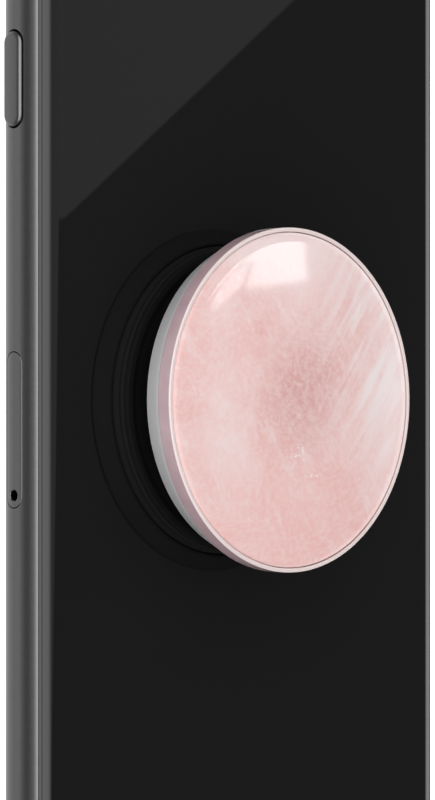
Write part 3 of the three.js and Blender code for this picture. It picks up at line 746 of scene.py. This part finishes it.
# ---- Light ----------------------------------------------------------------------------------------
class Sky(Graph):
    """A studio written as brightness by direction, with soft-edged boxes of light."""

    def __init__(self):
        world = bpy.data.worlds.new("studio")
        bpy.context.scene.world = world
        super().__init__(world)
        self.background = self.nodes["Background"]
        self.dir = self.nodes.new("ShaderNodeTexCoord").outputs["Generated"]

    def along(self, direction):
        node = self.nodes.new("ShaderNodeVectorMath")
        node.operation = "DOT_PRODUCT"
        node.inputs[1].default_value = direction
        self.links.new(self.dir, node.inputs[0])
        return node.outputs["Value"]


def slanting(lean, turn):
    """A direction lean degrees from straight up towards +X and turn degrees towards +Y."""
    lean, turn = math.radians(lean), math.radians(turn)
    return Vector((math.sin(lean) * math.cos(turn), math.sin(turn), math.cos(lean) * math.cos(turn)))


def edge_plane(first, second):
    """The normal of the plane through two directions, facing the phone's top end."""
    normal = first.cross(second).normalized()
    if normal.y < 0:
        normal.negate()
    return normal


def slanting_card(sky, y, z):
    """The faint card that the glass mirrors as a slanting patch."""
    upper, corner, lower = slanting(45.92, 4.09), slanting(43.57, 1.86), slanting(5, -4)
    return sky.product(
        sky.step(sky.along(edge_plane(upper, corner)), -0.0003, 0.0003),
        sky.step(sky.along(edge_plane(corner, lower)), -0.0006, 0.0006),
        sky.step(y, 0.5, 0.3),
        sky.step(z, 0.1, 0.2),
        0.27,
    )


def stone_window(sky, x, y, z):
    """The window that the polished stone mirrors, with a bar across it."""
    sill = sky.math("SUBTRACT", y, sky.math("MULTIPLY", sky.math("MINIMUM", x, 0.589), 0.555))
    bar = sky.math("SUBTRACT", x, sky.math("MULTIPLY", y, 0.69))
    bar = sky.math("ABSOLUTE", sky.math("SUBTRACT", bar, 0.477))
    # its outer edge runs parallel to the stone's rim
    over_x = sky.math("DIVIDE", sky.math("SUBTRACT", x, 0.705), 0.0131)
    over_y = sky.math("DIVIDE", y, 0.0146)
    square = sky.total(sky.math("MULTIPLY", over_x, over_x), sky.math("MULTIPLY", over_y, over_y))
    round_edge = sky.math("SQRT", square)
    return sky.product(
        sky.step(sill, -0.155, -0.141),
        sky.step(round_edge, 17.0, 16.5),
        sky.step(x, 0.50, 0.53),
        sky.step(x, 0.748, 0.728),
        sky.step(z, 0.1, 0.2),
        sky.math("ADD", sky.product(sky.step(bar, 0.003, 0.008), 0.85), 0.15),
        4.8,
    )


def make_light():
    sky = Sky()
    x, y, z = sky.split(sky.dir)
    # tilt: angle from straight up towards -X, in degrees
    tilt = sky.math("MULTIPLY", sky.math("ARCTAN2", sky.math("MULTIPLY", x, -1.0), z), 180 / math.pi)
    sideways = sky.math("ABSOLUTE", y)
    base = sky.total(0.06, sky.product(sky.step(tilt, -8, 4), sky.step(z, -0.40, -0.22), 0.24))
    ground = sky.total(
        sky.product(sky.step(z, -0.22, -0.40), sky.step(x, 0.75, 0.10), 0.30),
        sky.product(sky.step(z, -0.22, -0.95), sky.step(x, 0.75, 0.10), 0.40),
        sky.product(sky.step(z, -0.22, -0.95), 0.22),
    )
    # the wide soft boxes overhead and on the power button's side
    wide = sky.step(sideways, 0.92, 0.70)
    overhead = sky.product(sky.step(tilt, -11, 11), sky.step(tilt, 33, 26), wide, 1.9)
    low_box = sky.product(sky.step(tilt, 31, 42), sky.step(tilt, 66, 50), wide, 2.4)
    fill = sky.product(sky.step(tilt, 20, 30), sky.step(tilt, 44, 34), wide, 0.6)
    right_box = sky.product(sky.step(tilt, -58, -69), sky.step(tilt, -115, -72), wide, 1.9)
    card = slanting_card(sky, y, z)
    window = stone_window(sky, x, y, z)
    level = sky.total(base, ground, overhead, low_box, fill, right_box, card, window)
    # seen directly, the backdrop is plain white
    seen = sky.nodes.new("ShaderNodeLightPath").outputs["Is Camera Ray"]
    unseen = sky.math("SUBTRACT", 1.0, seen)
    level = sky.math("ADD", sky.math("MULTIPLY", level, unseen), seen)
    sky.links.new(level, sky.background.inputs["Strength"])
    sky.background.inputs["Color"].default_value = (1, 1, 1, 1)


def make_floor():
    size = 3.0
    mesh = bpy.data.meshes.new("floor")
    corners = [(-size, -size, 0), (size, -size, 0), (size, size, 0), (-size, size, 0)]
    mesh.from_pydata(corners, [], [(0, 1, 2, 3)])
    floor = bpy.data.objects.new("floor", mesh)
    bpy.context.scene.collection.objects.link(floor)
    paint = Paint("pale_floor", (0.8, 0.8, 0.8), 0.9, Emission_Color=(1, 1, 1, 1), Emission_Strength=0.9)
    mesh.materials.append(paint.material)
    floor.visible_glossy = False


# ---- Housing --------------------------------------------------------------------------------------
def make_frame():
    rings = []
    low, high, soft = BAND_LOW - LIP, BAND_HIGH + LIP, 0.02
    for z in arc_heights(low, high, 44):
        rings.append(outline(edge_inset(z), z))
    rings.append(outline(edge_inset(high) + soft, high + 0.01))
    rings.append(outline(edge_inset(high) + 0.6, high + 0.01))
    rings.append(outline(edge_inset(high) + 0.6, BAND_HIGH))
    rings.append(outline(WALL, BAND_HIGH))
    rings.append(outline(WALL, BAND_LOW))
    rings.append(outline(edge_inset(low) + 0.6, BAND_LOW))
    rings.append(outline(edge_inset(low) + 0.6, low - 0.01))
    rings.append(outline(edge_inset(low) + soft, low - 0.01))
    verts, faces = loft(rings, loop=True)
    blank = make_mesh("side_frame", verts, faces)
    through = WALL + 0.6
    key_slot = pill_ring(KEY_LENGTH + KEY_SLOT, KEY_WIDTH + KEY_SLOT)
    tray_slot = pill_ring(TRAY_LENGTH + 0.14, TRAY_WIDTH + 0.14)
    cutters = [
        side_cutter(-1, key_slot, POWER_Y, through),
        side_cutter(-1, tray_slot, TRAY_Y, through, 0.05),
        side_cutter(1, pill_ring(5.4, 2.6), MUTE_Y, through),
    ]
    for y in VOLUME_YS.values():
        cutters.append(side_cutter(1, key_slot, y, through))
    cutters.append(end_cutter(pill_ring(9.14, 3.36), 0, through))
    for x in (-SCREW_X, SCREW_X):
        cutters.append(end_cutter(circle(0.95), x, 0.8, 0.06))
    for x in HOLES_X:
        cutters.append(end_cutter(circle(0.7, 24), x, through, 0.06))
        cutters.append(end_cutter(circle(0.7, 24), -x, through, 0.06))
    for side in (-1, 1):
        for end in (-1, 1):
            cutters.append(insert_block(side, end, 0.03))
    mesh = carve(blank, cutters)
    follow_envelope(mesh)
    place("side_frame_fine", mesh, "frame", "phone", "frame", "side_frame")


def block(x0, x1, y0, y1, z0, z1):
    verts = [(x, y, z) for z in (z0, z1) for x, y in ((x0, y0), (x1, y0), (x1, y1), (x0, y1))]
    faces = [(3, 2, 1, 0), (4, 5, 6, 7), (0, 1, 5, 4), (1, 2, 6, 5), (2, 3, 7, 6), (3, 0, 4, 7)]
    return verts, faces


def insert_block(side, end, grow):
    y = end * INSERT_Y
    near, far = SIDE - 1.3 - grow, SIDE + 1
    x0, x1 = sorted((side * near, side * far))
    return block(x0, x1, y - 0.6 - grow, y + 0.6 + grow, BAND_LOW - 1, BAND_HIGH + 1)


def insert_surface(y, z):
    """How far the band's outside is from the middle line, on the round corner too."""
    past = abs(y) - (END - CORNER)
    drop = CORNER - math.sqrt(CORNER**2 - past * past) if past > 0 else 0
    return SIDE - drop - edge_inset(z)


def make_inserts():
    """Plastic strips across the band, flush with it."""
    inner = SIDE - 1.28
    for side, across in ((-1, "left"), (1, "right")):
        for end, along in ((-1, "bottom"), (1, "top")):
            rings = []
            y = end * INSERT_Y
            for z in arc_heights(BAND_LOW + 0.01, BAND_HIGH - 0.01, 30):
                outside = (y - 0.58, y - 0.3, y, y + 0.3, y + 0.58)
                ring = [(side * insert_surface(at, z), at, z) for at in outside]
                ring += [(side * inner, y + 0.58, z), (side * inner, y - 0.58, z)]
                rings.append(ring)
            name = f"antenna_insert_{along}_{across}"
            mesh = make_mesh(name, *loft(rings))
            follow_envelope(mesh)
            place(name + "_fine", mesh, "insert", "phone", "insert", name)


def glass_blank(name, low, high, flip):
    """A glass panel with a rounded edge. flip gives the screen's panel."""
    lip, soft = 0.04, 0.02
    if flip:
        arc = [(edge_inset(z), z) for z in arc_heights(0, high + lip - soft, 24)]
        edge = arc[-1][0]
        back = [(soft, high + lip), (0.5, high + lip), (0.5, high), (1.2, high)]
        profile = arc + [(edge + inset, z) for inset, z in back]
    else:
        arc = [(edge_inset(z), z) for z in arc_heights(low - lip + soft, THICK, 24)]
        edge = arc[0][0]
        back = [(1.2, low), (0.5, low), (0.5, low - lip), (soft, low - lip)]
        profile = [(edge + inset, z) for inset, z in back] + arc
    verts, faces = loft([outline(inset, z) for inset, z in profile])
    return make_mesh(name, verts, faces)


def make_glass():
    rear = glass_blank("rear_glass", THICK - GLASS, THICK, False)
    rear = carve(
        rear,
        [
            upright_cutter(5.0, LENS, 5, 9),
            upright_cutter(2.6, FLASH, 5, 9, 64),
            upright_cutter(0.45, REAR_MIC, 5, 9, 32),
        ],
    )
    follow_envelope(rear)
    place("rear_glass_fine", rear, "rear_glass", "phone", "rear_glass", "rear_glass")
    front = glass_blank("front_glass", 0, GLASS, True)
    key_hole = loft([flat_ring((0, HOME_Y), z, pill_ring(13.3, 5.7)) for z in (-1, 2)])
    ear_hole = loft([flat_ring((0, EARPIECE_Y), z, pill_ring(10, 1.3)) for z in (-1, 2)])
    front = carve(front, [key_hole, ear_hole])
    follow_envelope(front)
    place("front_glass_fine", front, "front_glass", "phone", "front_glass", "front_glass")


def make_gaskets():
    """Thin rubber lines that fill the seams nearly flush."""
    for name, low, high in (
        ("rear_gasket", BAND_HIGH + LIP + 0.012, THICK - GLASS - 0.045),
        ("front_gasket", GLASS + 0.045, BAND_LOW - LIP - 0.012),
    ):
        middle = (low + high) / 2
        face = edge_inset(middle) + 0.035
        profile = [(face, low), (face, high), (face + 1.5, high), (face + 1.5, low)]
        mesh = make_mesh(name, *loft([outline(inset, z) for inset, z in profile], loop=True))
        place(name + "_line", mesh, "gasket_line", "phone", "gasket")


# ---- Keys, tray, port -------------------------------------------------------------------------------
def key_rings(side, y, length, width, foot, face, soft, crown):
    """A pill-shaped key from its foot to its softly rounded, slightly crowned face, along X."""
    rings = [side_ring(side * foot, y, pill_ring(length, width))]
    steps = 6
    for i in range(steps + 1):
        a = math.pi / 2 * i / steps
        inset = soft * (1 - math.cos(a))
        x = face - crown - soft + soft * math.sin(a)
        rings.append(side_ring(side * x, y, pill_ring(length, width, inset)))
    left = width / 2 - soft
    for share in (0.25, 0.5, 0.75, 0.97):
        inset = soft + left * share
        x = face - crown * (1 - share) ** 2
        rings.append(side_ring(side * x, y, pill_ring(length, width, inset)))
    return rings


def make_keys():
    face = SIDE + KEY_PROUD
    spots = [("power_button", -1, POWER_Y)] + [(n, 1, y) for n, y in VOLUME_YS.items()]
    for name, side, y in spots:
        rings = key_rings(side, y, KEY_LENGTH, KEY_WIDTH, 31.0, face, 0.5, 0.04)
        mesh = make_mesh(name, *loft(rings), 40)
        flange = [side_ring(side * x, y, pill_ring(12.1, 3.6)) for x in (30.7, 31.2)]
        join_meshes(mesh, make_mesh(name + "_flange", *loft(flange)))
        place(name + "_fine", mesh, "key", name, "frame", name)


def make_mute_switch():
    rings = key_rings(1, MUTE_Y, 5, 1.3, 31.0, SIDE + 0.1, 0.2, 0.03)
    knob = [[(x, y, z - MUTE_LOWERED) for x, y, z in ring] for ring in rings]
    sole = rect_ring(3.6, 1.2, 0.2, 4)
    foot = [side_ring(x, MUTE_Y, sole, SIDE_Z - MUTE_LOWERED) for x in (30.5, 31.1)]
    mesh = make_mesh("mute_switch", *join_parts([loft(knob), loft(foot)]), 40)
    place("mute_switch_fine", mesh, "key", "mute_switch", "frame", "mute_switch")


def join_meshes(mesh, more):
    work = bmesh.new()
    work.from_mesh(mesh)
    work.from_mesh(more)
    work.to_mesh(mesh)
    work.free()
    mesh.shade_smooth()
    mesh.set_sharp_from_angle(angle=math.radians(35))


def make_tray_face():
    back = SIDE - TRAY_DEPTH
    rings = [side_ring(-back, TRAY_Y, pill_ring(TRAY_LENGTH, TRAY_WIDTH))]
    for inset, sunk in ((0.0, 0.05), (0.04, 0.0), (0.15, 0), (0.35, 0), (0.6, 0), (0.9, 0), (1.32, 0)):
        ring = []
        for u, v in pill_ring(TRAY_LENGTH, TRAY_WIDTH, inset):
            ring.append((-(SIDE - edge_inset(SIDE_Z + v) - sunk), TRAY_Y + u, SIDE_Z + v))
        rings.append(ring)
    face = make_mesh("sim_tray", *loft(rings))
    hole = []
    for x, r in ((SIDE - 1.6, 0.6), (SIDE - 0.1, 0.6), (SIDE + 0.02, 0.72), (SIDE + 1, 0.72)):
        hole.append(side_ring(-x, PIN_Y, circle(r, 40)))
    face = carve(face, [loft(hole)])
    follow_envelope(face)
    place("sim_tray_face", face, "frame", "sim_tray", "frame", "sim_tray")


def make_tray_plate():
    """The tray's plate with the card's window, the card and its contacts."""
    x0, x1 = -(SIDE - TRAY_DEPTH) - 0.1, -18.15
    y0, y1 = TRAY_Y - 7.7 + 1.9, TRAY_Y + 7.7
    outer = ((x0 + x1) / 2, (y0 + y1) / 2)
    window_x, window_y = (-28.15, -19.35), (-8.65, 3.65)
    inner = (sum(window_x) / 2, sum(window_y) / 2)
    half_x = (window_x[1] - window_x[0]) / 2
    half_y = (window_y[1] - window_y[0]) / 2

    def window(grow, z):
        return flat_ring(inner, z, rect_ring(half_x + grow, half_y + grow, 0.8, 8))

    def rim(inset, z):
        ring = rect_ring((x1 - x0) / 2 - inset, (y1 - y0) / 2 - inset, 1.0, 8)
        return flat_ring(outer, z, ring)

    rims = [rim(0, 3.24), rim(0, 3.96), rim(0.04, 4.0)]
    steps = ((0.14, 4.0), (0.1, 3.96), (0.1, 3.3), (-0.6, 3.3), (-0.6, 3.2))
    rings = rims + [window(grow, z) for grow, z in steps] + [rim(0.04, 3.2)]
    plate = make_mesh("sim_tray_plate", *loft(rings, loop=True))
    peg = make_mesh("sim_tray_peg", *block(-31.1, -30.75, -6.5, -5.7, 2.65, 3.25))
    join_meshes(plate, peg)
    place("sim_tray_plate", plate, "frame", "sim_tray", "frame")
    card_rings = []
    for inset, z in ((0.05, 3.32), (0, 3.37), (0, 3.87), (0.05, 3.92)):
        card_rings.append(flat_ring(inner, z, rect_ring(4.38 - inset, 6.13 - inset, 0.7, 8)))
    card = make_mesh("sim_card", *loft(card_rings))
    place("sim_card_fine", card, "card", "sim_tray", "black_plastic", "sim_card")
    pads = []
    for row in range(2):
        for column in range(4):
            centre = (inner[0] - 2.0 + row * 4.0, inner[1] - 3.6 + column * 2.4)
            ring = rect_ring(1.6, 0.95, 0.3, 4)
            pads.append(loft([flat_ring(centre, z, ring) for z in (3.9, 3.93)]))
    contacts = make_mesh("sim_contacts", *join_parts(pads))
    place("sim_card_contacts", contacts, "gold", "sim_tray", "black_plastic")


def make_port():
    """The charging socket: a stadium-shaped steel shell with a contact tongue."""
    y0 = -END + 0.35

    def ring(length, width, y):
        return end_ring(0, y, pill_ring(length, width))

    shell = loft(
        [
            ring(8.94, 3.16, y0 + 7.4),
            ring(8.94, 3.16, y0 + 0.1),
            ring(8.8, 3.02, y0),
            ring(8.48, 2.7, y0),
            ring(8.34, 2.56, y0 + 0.14),
            ring(8.34, 2.56, y0 + 6.8),
            ring(0.2, 0.1, y0 + 6.8),
        ]
    )
    tongue_rings = []
    for inset, y in ((0, y0 + 7), (0, y0 + 1.2), (0.12, y0 + 1.0)):
        tongue_rings.append(end_ring(0, y, rect_ring(3.3 - inset, 0.35 - inset, 0.15, 4)))
    mesh = make_mesh("charge_port", *join_parts([shell, loft(tongue_rings)]))
    place("charge_port_fine", mesh, "steel", "phone", "steel", "charge_port")
    pads = []
    for i in range(6):
        for level in (-0.36, 0.34):
            x, z = -2.5 + i, MIDDLE + level
            pads.append(block(x - 0.2, x + 0.2, y0 + 1.4, y0 + 4.5, z, z + 0.02))
    contacts = make_mesh("port_contacts", *join_parts(pads))
    place("charge_port_contacts", contacts, "gold", "phone", "steel")


def make_screws():
    shank = ((0.5, -65.2), (0.55, -65.4), (0.55, -68.4))
    head = ((0.85, -68.5), (0.85, -68.9), (0.75, -69.0))
    for name, x in (("bottom_screw_left", -SCREW_X), ("bottom_screw_right", SCREW_X)):
        rings = [end_ring(x, y, circle(r, 36)) for r, y in shank + head]
        for r, y in ((0.46, -69.0), (0.42, -68.96), (0.42, -68.7)):
            ring = []
            for u, v in circle(r, 36):
                a = math.atan2(v, u)
                lobe = 0.93 + 0.07 * math.cos(6 * a)
                ring.append((x + u * lobe, y, MIDDLE + v * lobe))
            rings.append(ring)
        mesh = make_mesh(name, *loft(rings))
        place(name + "_fine", mesh, "steel", "phone", "steel", name)


def make_home_key():
    flange = [(14.4, 6.8, 0, 1.08), (14.4, 6.8, 0, 0.93)]
    dish = ((0, 0.93), (0, 0.2), (0.04, 0.13), (0.12, 0.1), (0.6, 0.12), (1.6, 0.16), (2.68, 0.18))
    rings = []
    for length, width, inset, z in flange + [(13, 5.4, inset, z) for inset, z in dish]:
        rings.append(flat_ring((0, HOME_Y), z, pill_ring(length, width, inset)))
    mesh = make_mesh("home_key", *loft(rings))
    place("home_key_fine", mesh, "front_glass", "home_key", "front_glass", "home_key")


def make_mesh_screens():
    """Woven covers behind the earpiece slot and the bottom holes."""
    for name in ("earpiece_mesh", "speaker_mesh", "microphone_mesh"):
        low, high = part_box(name)
        x0, y0, z0 = low / MM
        x1, y1, z1 = high / MM
        if name == "earpiece_mesh":
            ring = pill_ring(x1 - x0, y1 - y0)
            piece = loft([flat_ring((0, (y0 + y1) / 2), z, ring) for z in (z0, z1)])
        else:
            piece = block(x0, x1, y0, y1, z0, z1)
        mesh = make_mesh(name, *piece)
        place(name + "_fine", mesh, "weave", "phone", "steel", name)


# ---- Rear camera ------------------------------------------------------------------------------------
def make_rear_camera():
    top = CAMERA_TOP
    ring = [
        (3.6, THICK - GLASS),
        (4.9, THICK - GLASS),
        (4.9, THICK + 0.05),
        (5.6, THICK + 0.05),
        (5.6, top),
        (4.3, top),
        (4.3, top - 0.55),
        (3.6, top - 0.55),
    ]
    profile = fillet(ring, [0.02, 0.02, 0.03, 0.05, 0.3, 0.12, 0.03, 0.03], 6)
    mesh = make_mesh("camera_ring", *lathe(profile, LENS))
    place("camera_ring_fine", mesh, "frame", "phone", "frame", "camera_ring")
    cover = fillet([(0, top - 0.5), (4.25, top - 0.5), (4.25, top - 0.15), (0, top - 0.15)], 0.04, 3)
    cover_node = "camera_lens_cover"
    mesh = make_mesh(cover_node, *lathe(axis_profile(cover), LENS))
    place("camera_lens_cover_fine", mesh, "clear_glass", "phone", "clear_glass", cover_node)
    barrel = [
        (0, 3.8), (3.3, 3.8), (3.3, 6.5), (2.9, 6.5), (2.7, 6.2), (2.4, 6.2), (2.3, 5.8),
        (2.0, 5.8), (1.9, 5.4), (1.6, 5.4), (0, 5.4),
    ]
    barrel_node = "camera_lens_barrel"
    mesh = make_mesh(barrel_node, *lathe(barrel, LENS, 96))
    place("camera_lens_barrel_fine", mesh, "barrel", "phone", "black_plastic", barrel_node)
    dome = [(0, 5.4), (1.6, 5.4)]
    for i in range(8):
        r = 1.55 * (1 - (i + 1) / 8.5)
        dome.append((r, 5.45 + 0.35 * (1 - (r / 1.6) ** 2)))
    mesh = make_mesh("camera_front_element", *lathe(dome, LENS, 64))
    place("camera_front_element", mesh, "coating", "phone", "clear_glass")
    corner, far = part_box("flash_lens")
    z0, z1 = corner.z / MM, far.z / MM
    flash = fillet([(0, z0), (2.5, z0), (2.5, z1), (0, z1)], 0.12, 4)
    mesh = make_mesh("flash_lens", *lathe(axis_profile(flash), FLASH, 96))
    place("flash_lens_fine", mesh, "led", "phone", "clear_glass", "flash_lens")


def axis_profile(points):
    """Keeps a filleted line from crossing the axis."""
    return [(max(r, 0.0), z) for r, z in points]


# ---- Grip -------------------------------------------------------------------------------------------
def turned_mesh(name, points, radii, rounding):
    """points are (radius, height above the back), turned about the grip's middle."""
    profile = [(r, THICK + h) for r, h in fillet(points, radii, rounding)]
    return make_mesh(name, *lathe(profile, (GRIP_X, 0), 200), sharp=50)


def grip_lathe(name, points, radii, material, body, *stands_for):
    mesh = turned_mesh(name, points, radii, 6)
    place(name + "_fine", mesh, material, body, material, *stands_for)


def grip_fold(node, points, radii, material):
    """A soft wall turned about the grip's middle, left on no body."""
    mesh = turned_mesh(node, points, radii, 5)
    fold = add_piece(node + "_fine", mesh, material, "grip_fold", node)
    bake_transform(fold)


def hide_from_mirror():
    """The grip isn't mirrored in the glass back, which keeps its even, deep black."""
    for obj in bpy.data.objects:
        if obj.name.startswith("grip_"):
            obj.visible_glossy = False


def make_grip_base():
    points = [
        (0, 0.82), (18.7, 0.82), (18.7, 0.1), (GRIP_RADIUS, 0.1), (GRIP_RADIUS, 0.4),
        (19.3, 1.05), (18.4, 1.72), (18.05, 1.72), (18.05, 1.25), (0, 1.25),
    ]
    radii = [0, 0, 0.05, 0.1, 0.18, 1.2, 0.25, 0.1, 0.1, 0]
    grip_lathe("grip_base", points, radii, "grip_black", "phone", "grip_base")


def make_grip_lower():
    wall = [
        (17.45, 1.3), (17.95, 1.3), (17.86, 1.8), (17.62, 2.3), (17.72, 2.75), (17.55, 3.01),
        (17.1, 3.01), (17.2, 2.75), (17.1, 2.3), (17.35, 1.8),
    ]
    grip_fold("grip_lower_fold", wall, 0.25, "grip_fold")
    ring = [
        (12.7, 2.4), (16.9, 2.4), (16.9, 3.06), (17.5, 3.06), (17.5, 3.65), (16.7, 3.65),
        (15.8, 3.2), (12.7, 3.0),
    ]
    radii = [0.1, 0.1, 0.05, 0.1, 0.28, 0.3, 0.5, 0.15]
    grip_lathe("grip_middle_ring", ring, radii, "grip_black", "grip_ring", "grip_middle_ring")


def make_grip_upper():
    cone = [
        (12.15, 2.55), (12.65, 2.55), (12.45, 3.6), (11.6, 5.0), (9.95, 6.45), (9.5, 6.45),
        (11.1, 4.8), (11.9, 3.5),
    ]
    radii = [0.1, 0.1, 0.8, 0.9, 0.15, 0.15, 0.9, 0.8]
    # the cone wears the lighter copy of the elastomer, painted to lift the shade under the disc
    grip_fold("grip_upper_fold", cone, radii, "grip_fold_painted_lighter")
    neck = [(0, 6.35), (9.45, 6.35), (9.45, 7.1), (0, 7.1)]
    grip_lathe("grip_neck", neck, [0, 0.2, 0.2, 0], "grip_black", "grip_neck")


def make_grip_head():
    low, split, rim = HEAD_LOW, HEAD_SPLIT, HEAD_RIM
    dish = [
        (0, low), (17.9, low), (18.35, low + 0.35), (19.45, split - 0.7), (19.6, split - 0.03),
        (0, split - 0.03),
    ]
    radii = [0, 0.3, 0.5, 1.5, 0.12, 0]
    grip_lathe("grip_carrier", dish, radii, "grip_grey", "grip_head", "grip_carrier")
    inside = GRIP_RADIUS - 0.5
    cup = [
        (0, split), (GRIP_RADIUS, split), (GRIP_RADIUS, rim), (inside, rim), (inside, split + 0.5),
        (0, split + 0.5),
    ]
    radii = [0, 0.15, 0.22, 0.18, 0.1, 0]
    grip_lathe("grip_cup", cup, radii, "grip_pink", "grip_head", "grip_cup")


def make_stone():
    """A polished dome: nearly flat in the middle, rolling off to a rounded edge in the cup."""
    radius, low, shoulder = GRIP_RADIUS - 0.53, HEAD_SPLIT + 0.55, HEAD_RIM - 0.35
    sphere, roll = 118.0, 17.2  # radius of the dome, and where it starts to roll off
    slope = roll / sphere
    start = Vector((radius, shoulder))
    end = Vector((roll, STONE_TOP - roll * roll / (2 * sphere)))
    corner = Vector((radius, shoulder + (end.y - shoulder) * 0.72))
    tangent = Vector((end.x + 1.1, end.y - 1.1 * slope))
    profile = [(0, low), (radius - 0.1, low), (radius, low + 0.1), (radius, shoulder)]
    steps = 18
    for i in range(1, steps):
        t = i / steps
        a, b, c = start.lerp(corner, t), corner.lerp(tangent, t), tangent.lerp(end, t)
        point = a.lerp(b, t).lerp(b.lerp(c, t), t)
        profile.append((point.x, point.y))
    rings = 26
    for i in range(rings):
        r = roll * (1 - i / rings)
        profile.append((r, STONE_TOP - r * r / (2 * sphere)))
    points = [(r, THICK + h) for r, h in profile]
    mesh = make_mesh("grip_stone", *lathe(points, (GRIP_X, 0), 200), sharp=50)
    place("grip_stone_fine", mesh, "stone", "grip_head", "stone", "grip_stone")


# ---- CAD nodes that stay --------------------------------------------------------------------------
CARRIED = {
    "gasket": ["rear_gasket", "front_gasket"],
    "steel": [
        "rear_plate", "display_shield_plate", "home_key_switch", "power_switch",
        "volume_up_switch", "volume_down_switch", "sim_reader", "sim_eject_lever",
        "processor_shield", "radio_shield", "vibration_motor_case", "vibration_motor_weight",
    ],
    "display": ["display_panel"],
    "black_plastic": [
        "mute_switch_body", "loudspeaker", "camera_housing", "front_camera", "earpiece_speaker",
    ],
    "board": ["logic_board", "bottom_board"],
    "chip": ["processor", "charging_coil_backing"],
    "battery": ["battery"],
    "copper": ["charging_coil"],
    "adhesive": ["grip_adhesive_pad"],
    "grip_black": ["grip_neck_plate"],
}


def dress_carried_nodes():
    for finish, nodes in CARRIED.items():
        for node in nodes:
            materials = frame["nodes"][node].data.materials
            materials.clear()
            materials.append(MATERIALS[finish])


scene = bpy.context.scene
scene.view_settings.view_transform = "Standard"
scene.view_settings.look = "None"
make_camera()
make_light()
make_floor()
make_materials()
make_frame()
make_inserts()
make_glass()
make_gaskets()
make_keys()
make_mute_switch()
make_tray_face()
make_tray_plate()
make_port()
make_screws()
make_home_key()
make_mesh_screens()
make_rear_camera()
make_grip_base()
make_grip_lower()
make_grip_upper()
make_grip_head()
make_stone()
dress_carried_nodes()
hide_from_mirror()
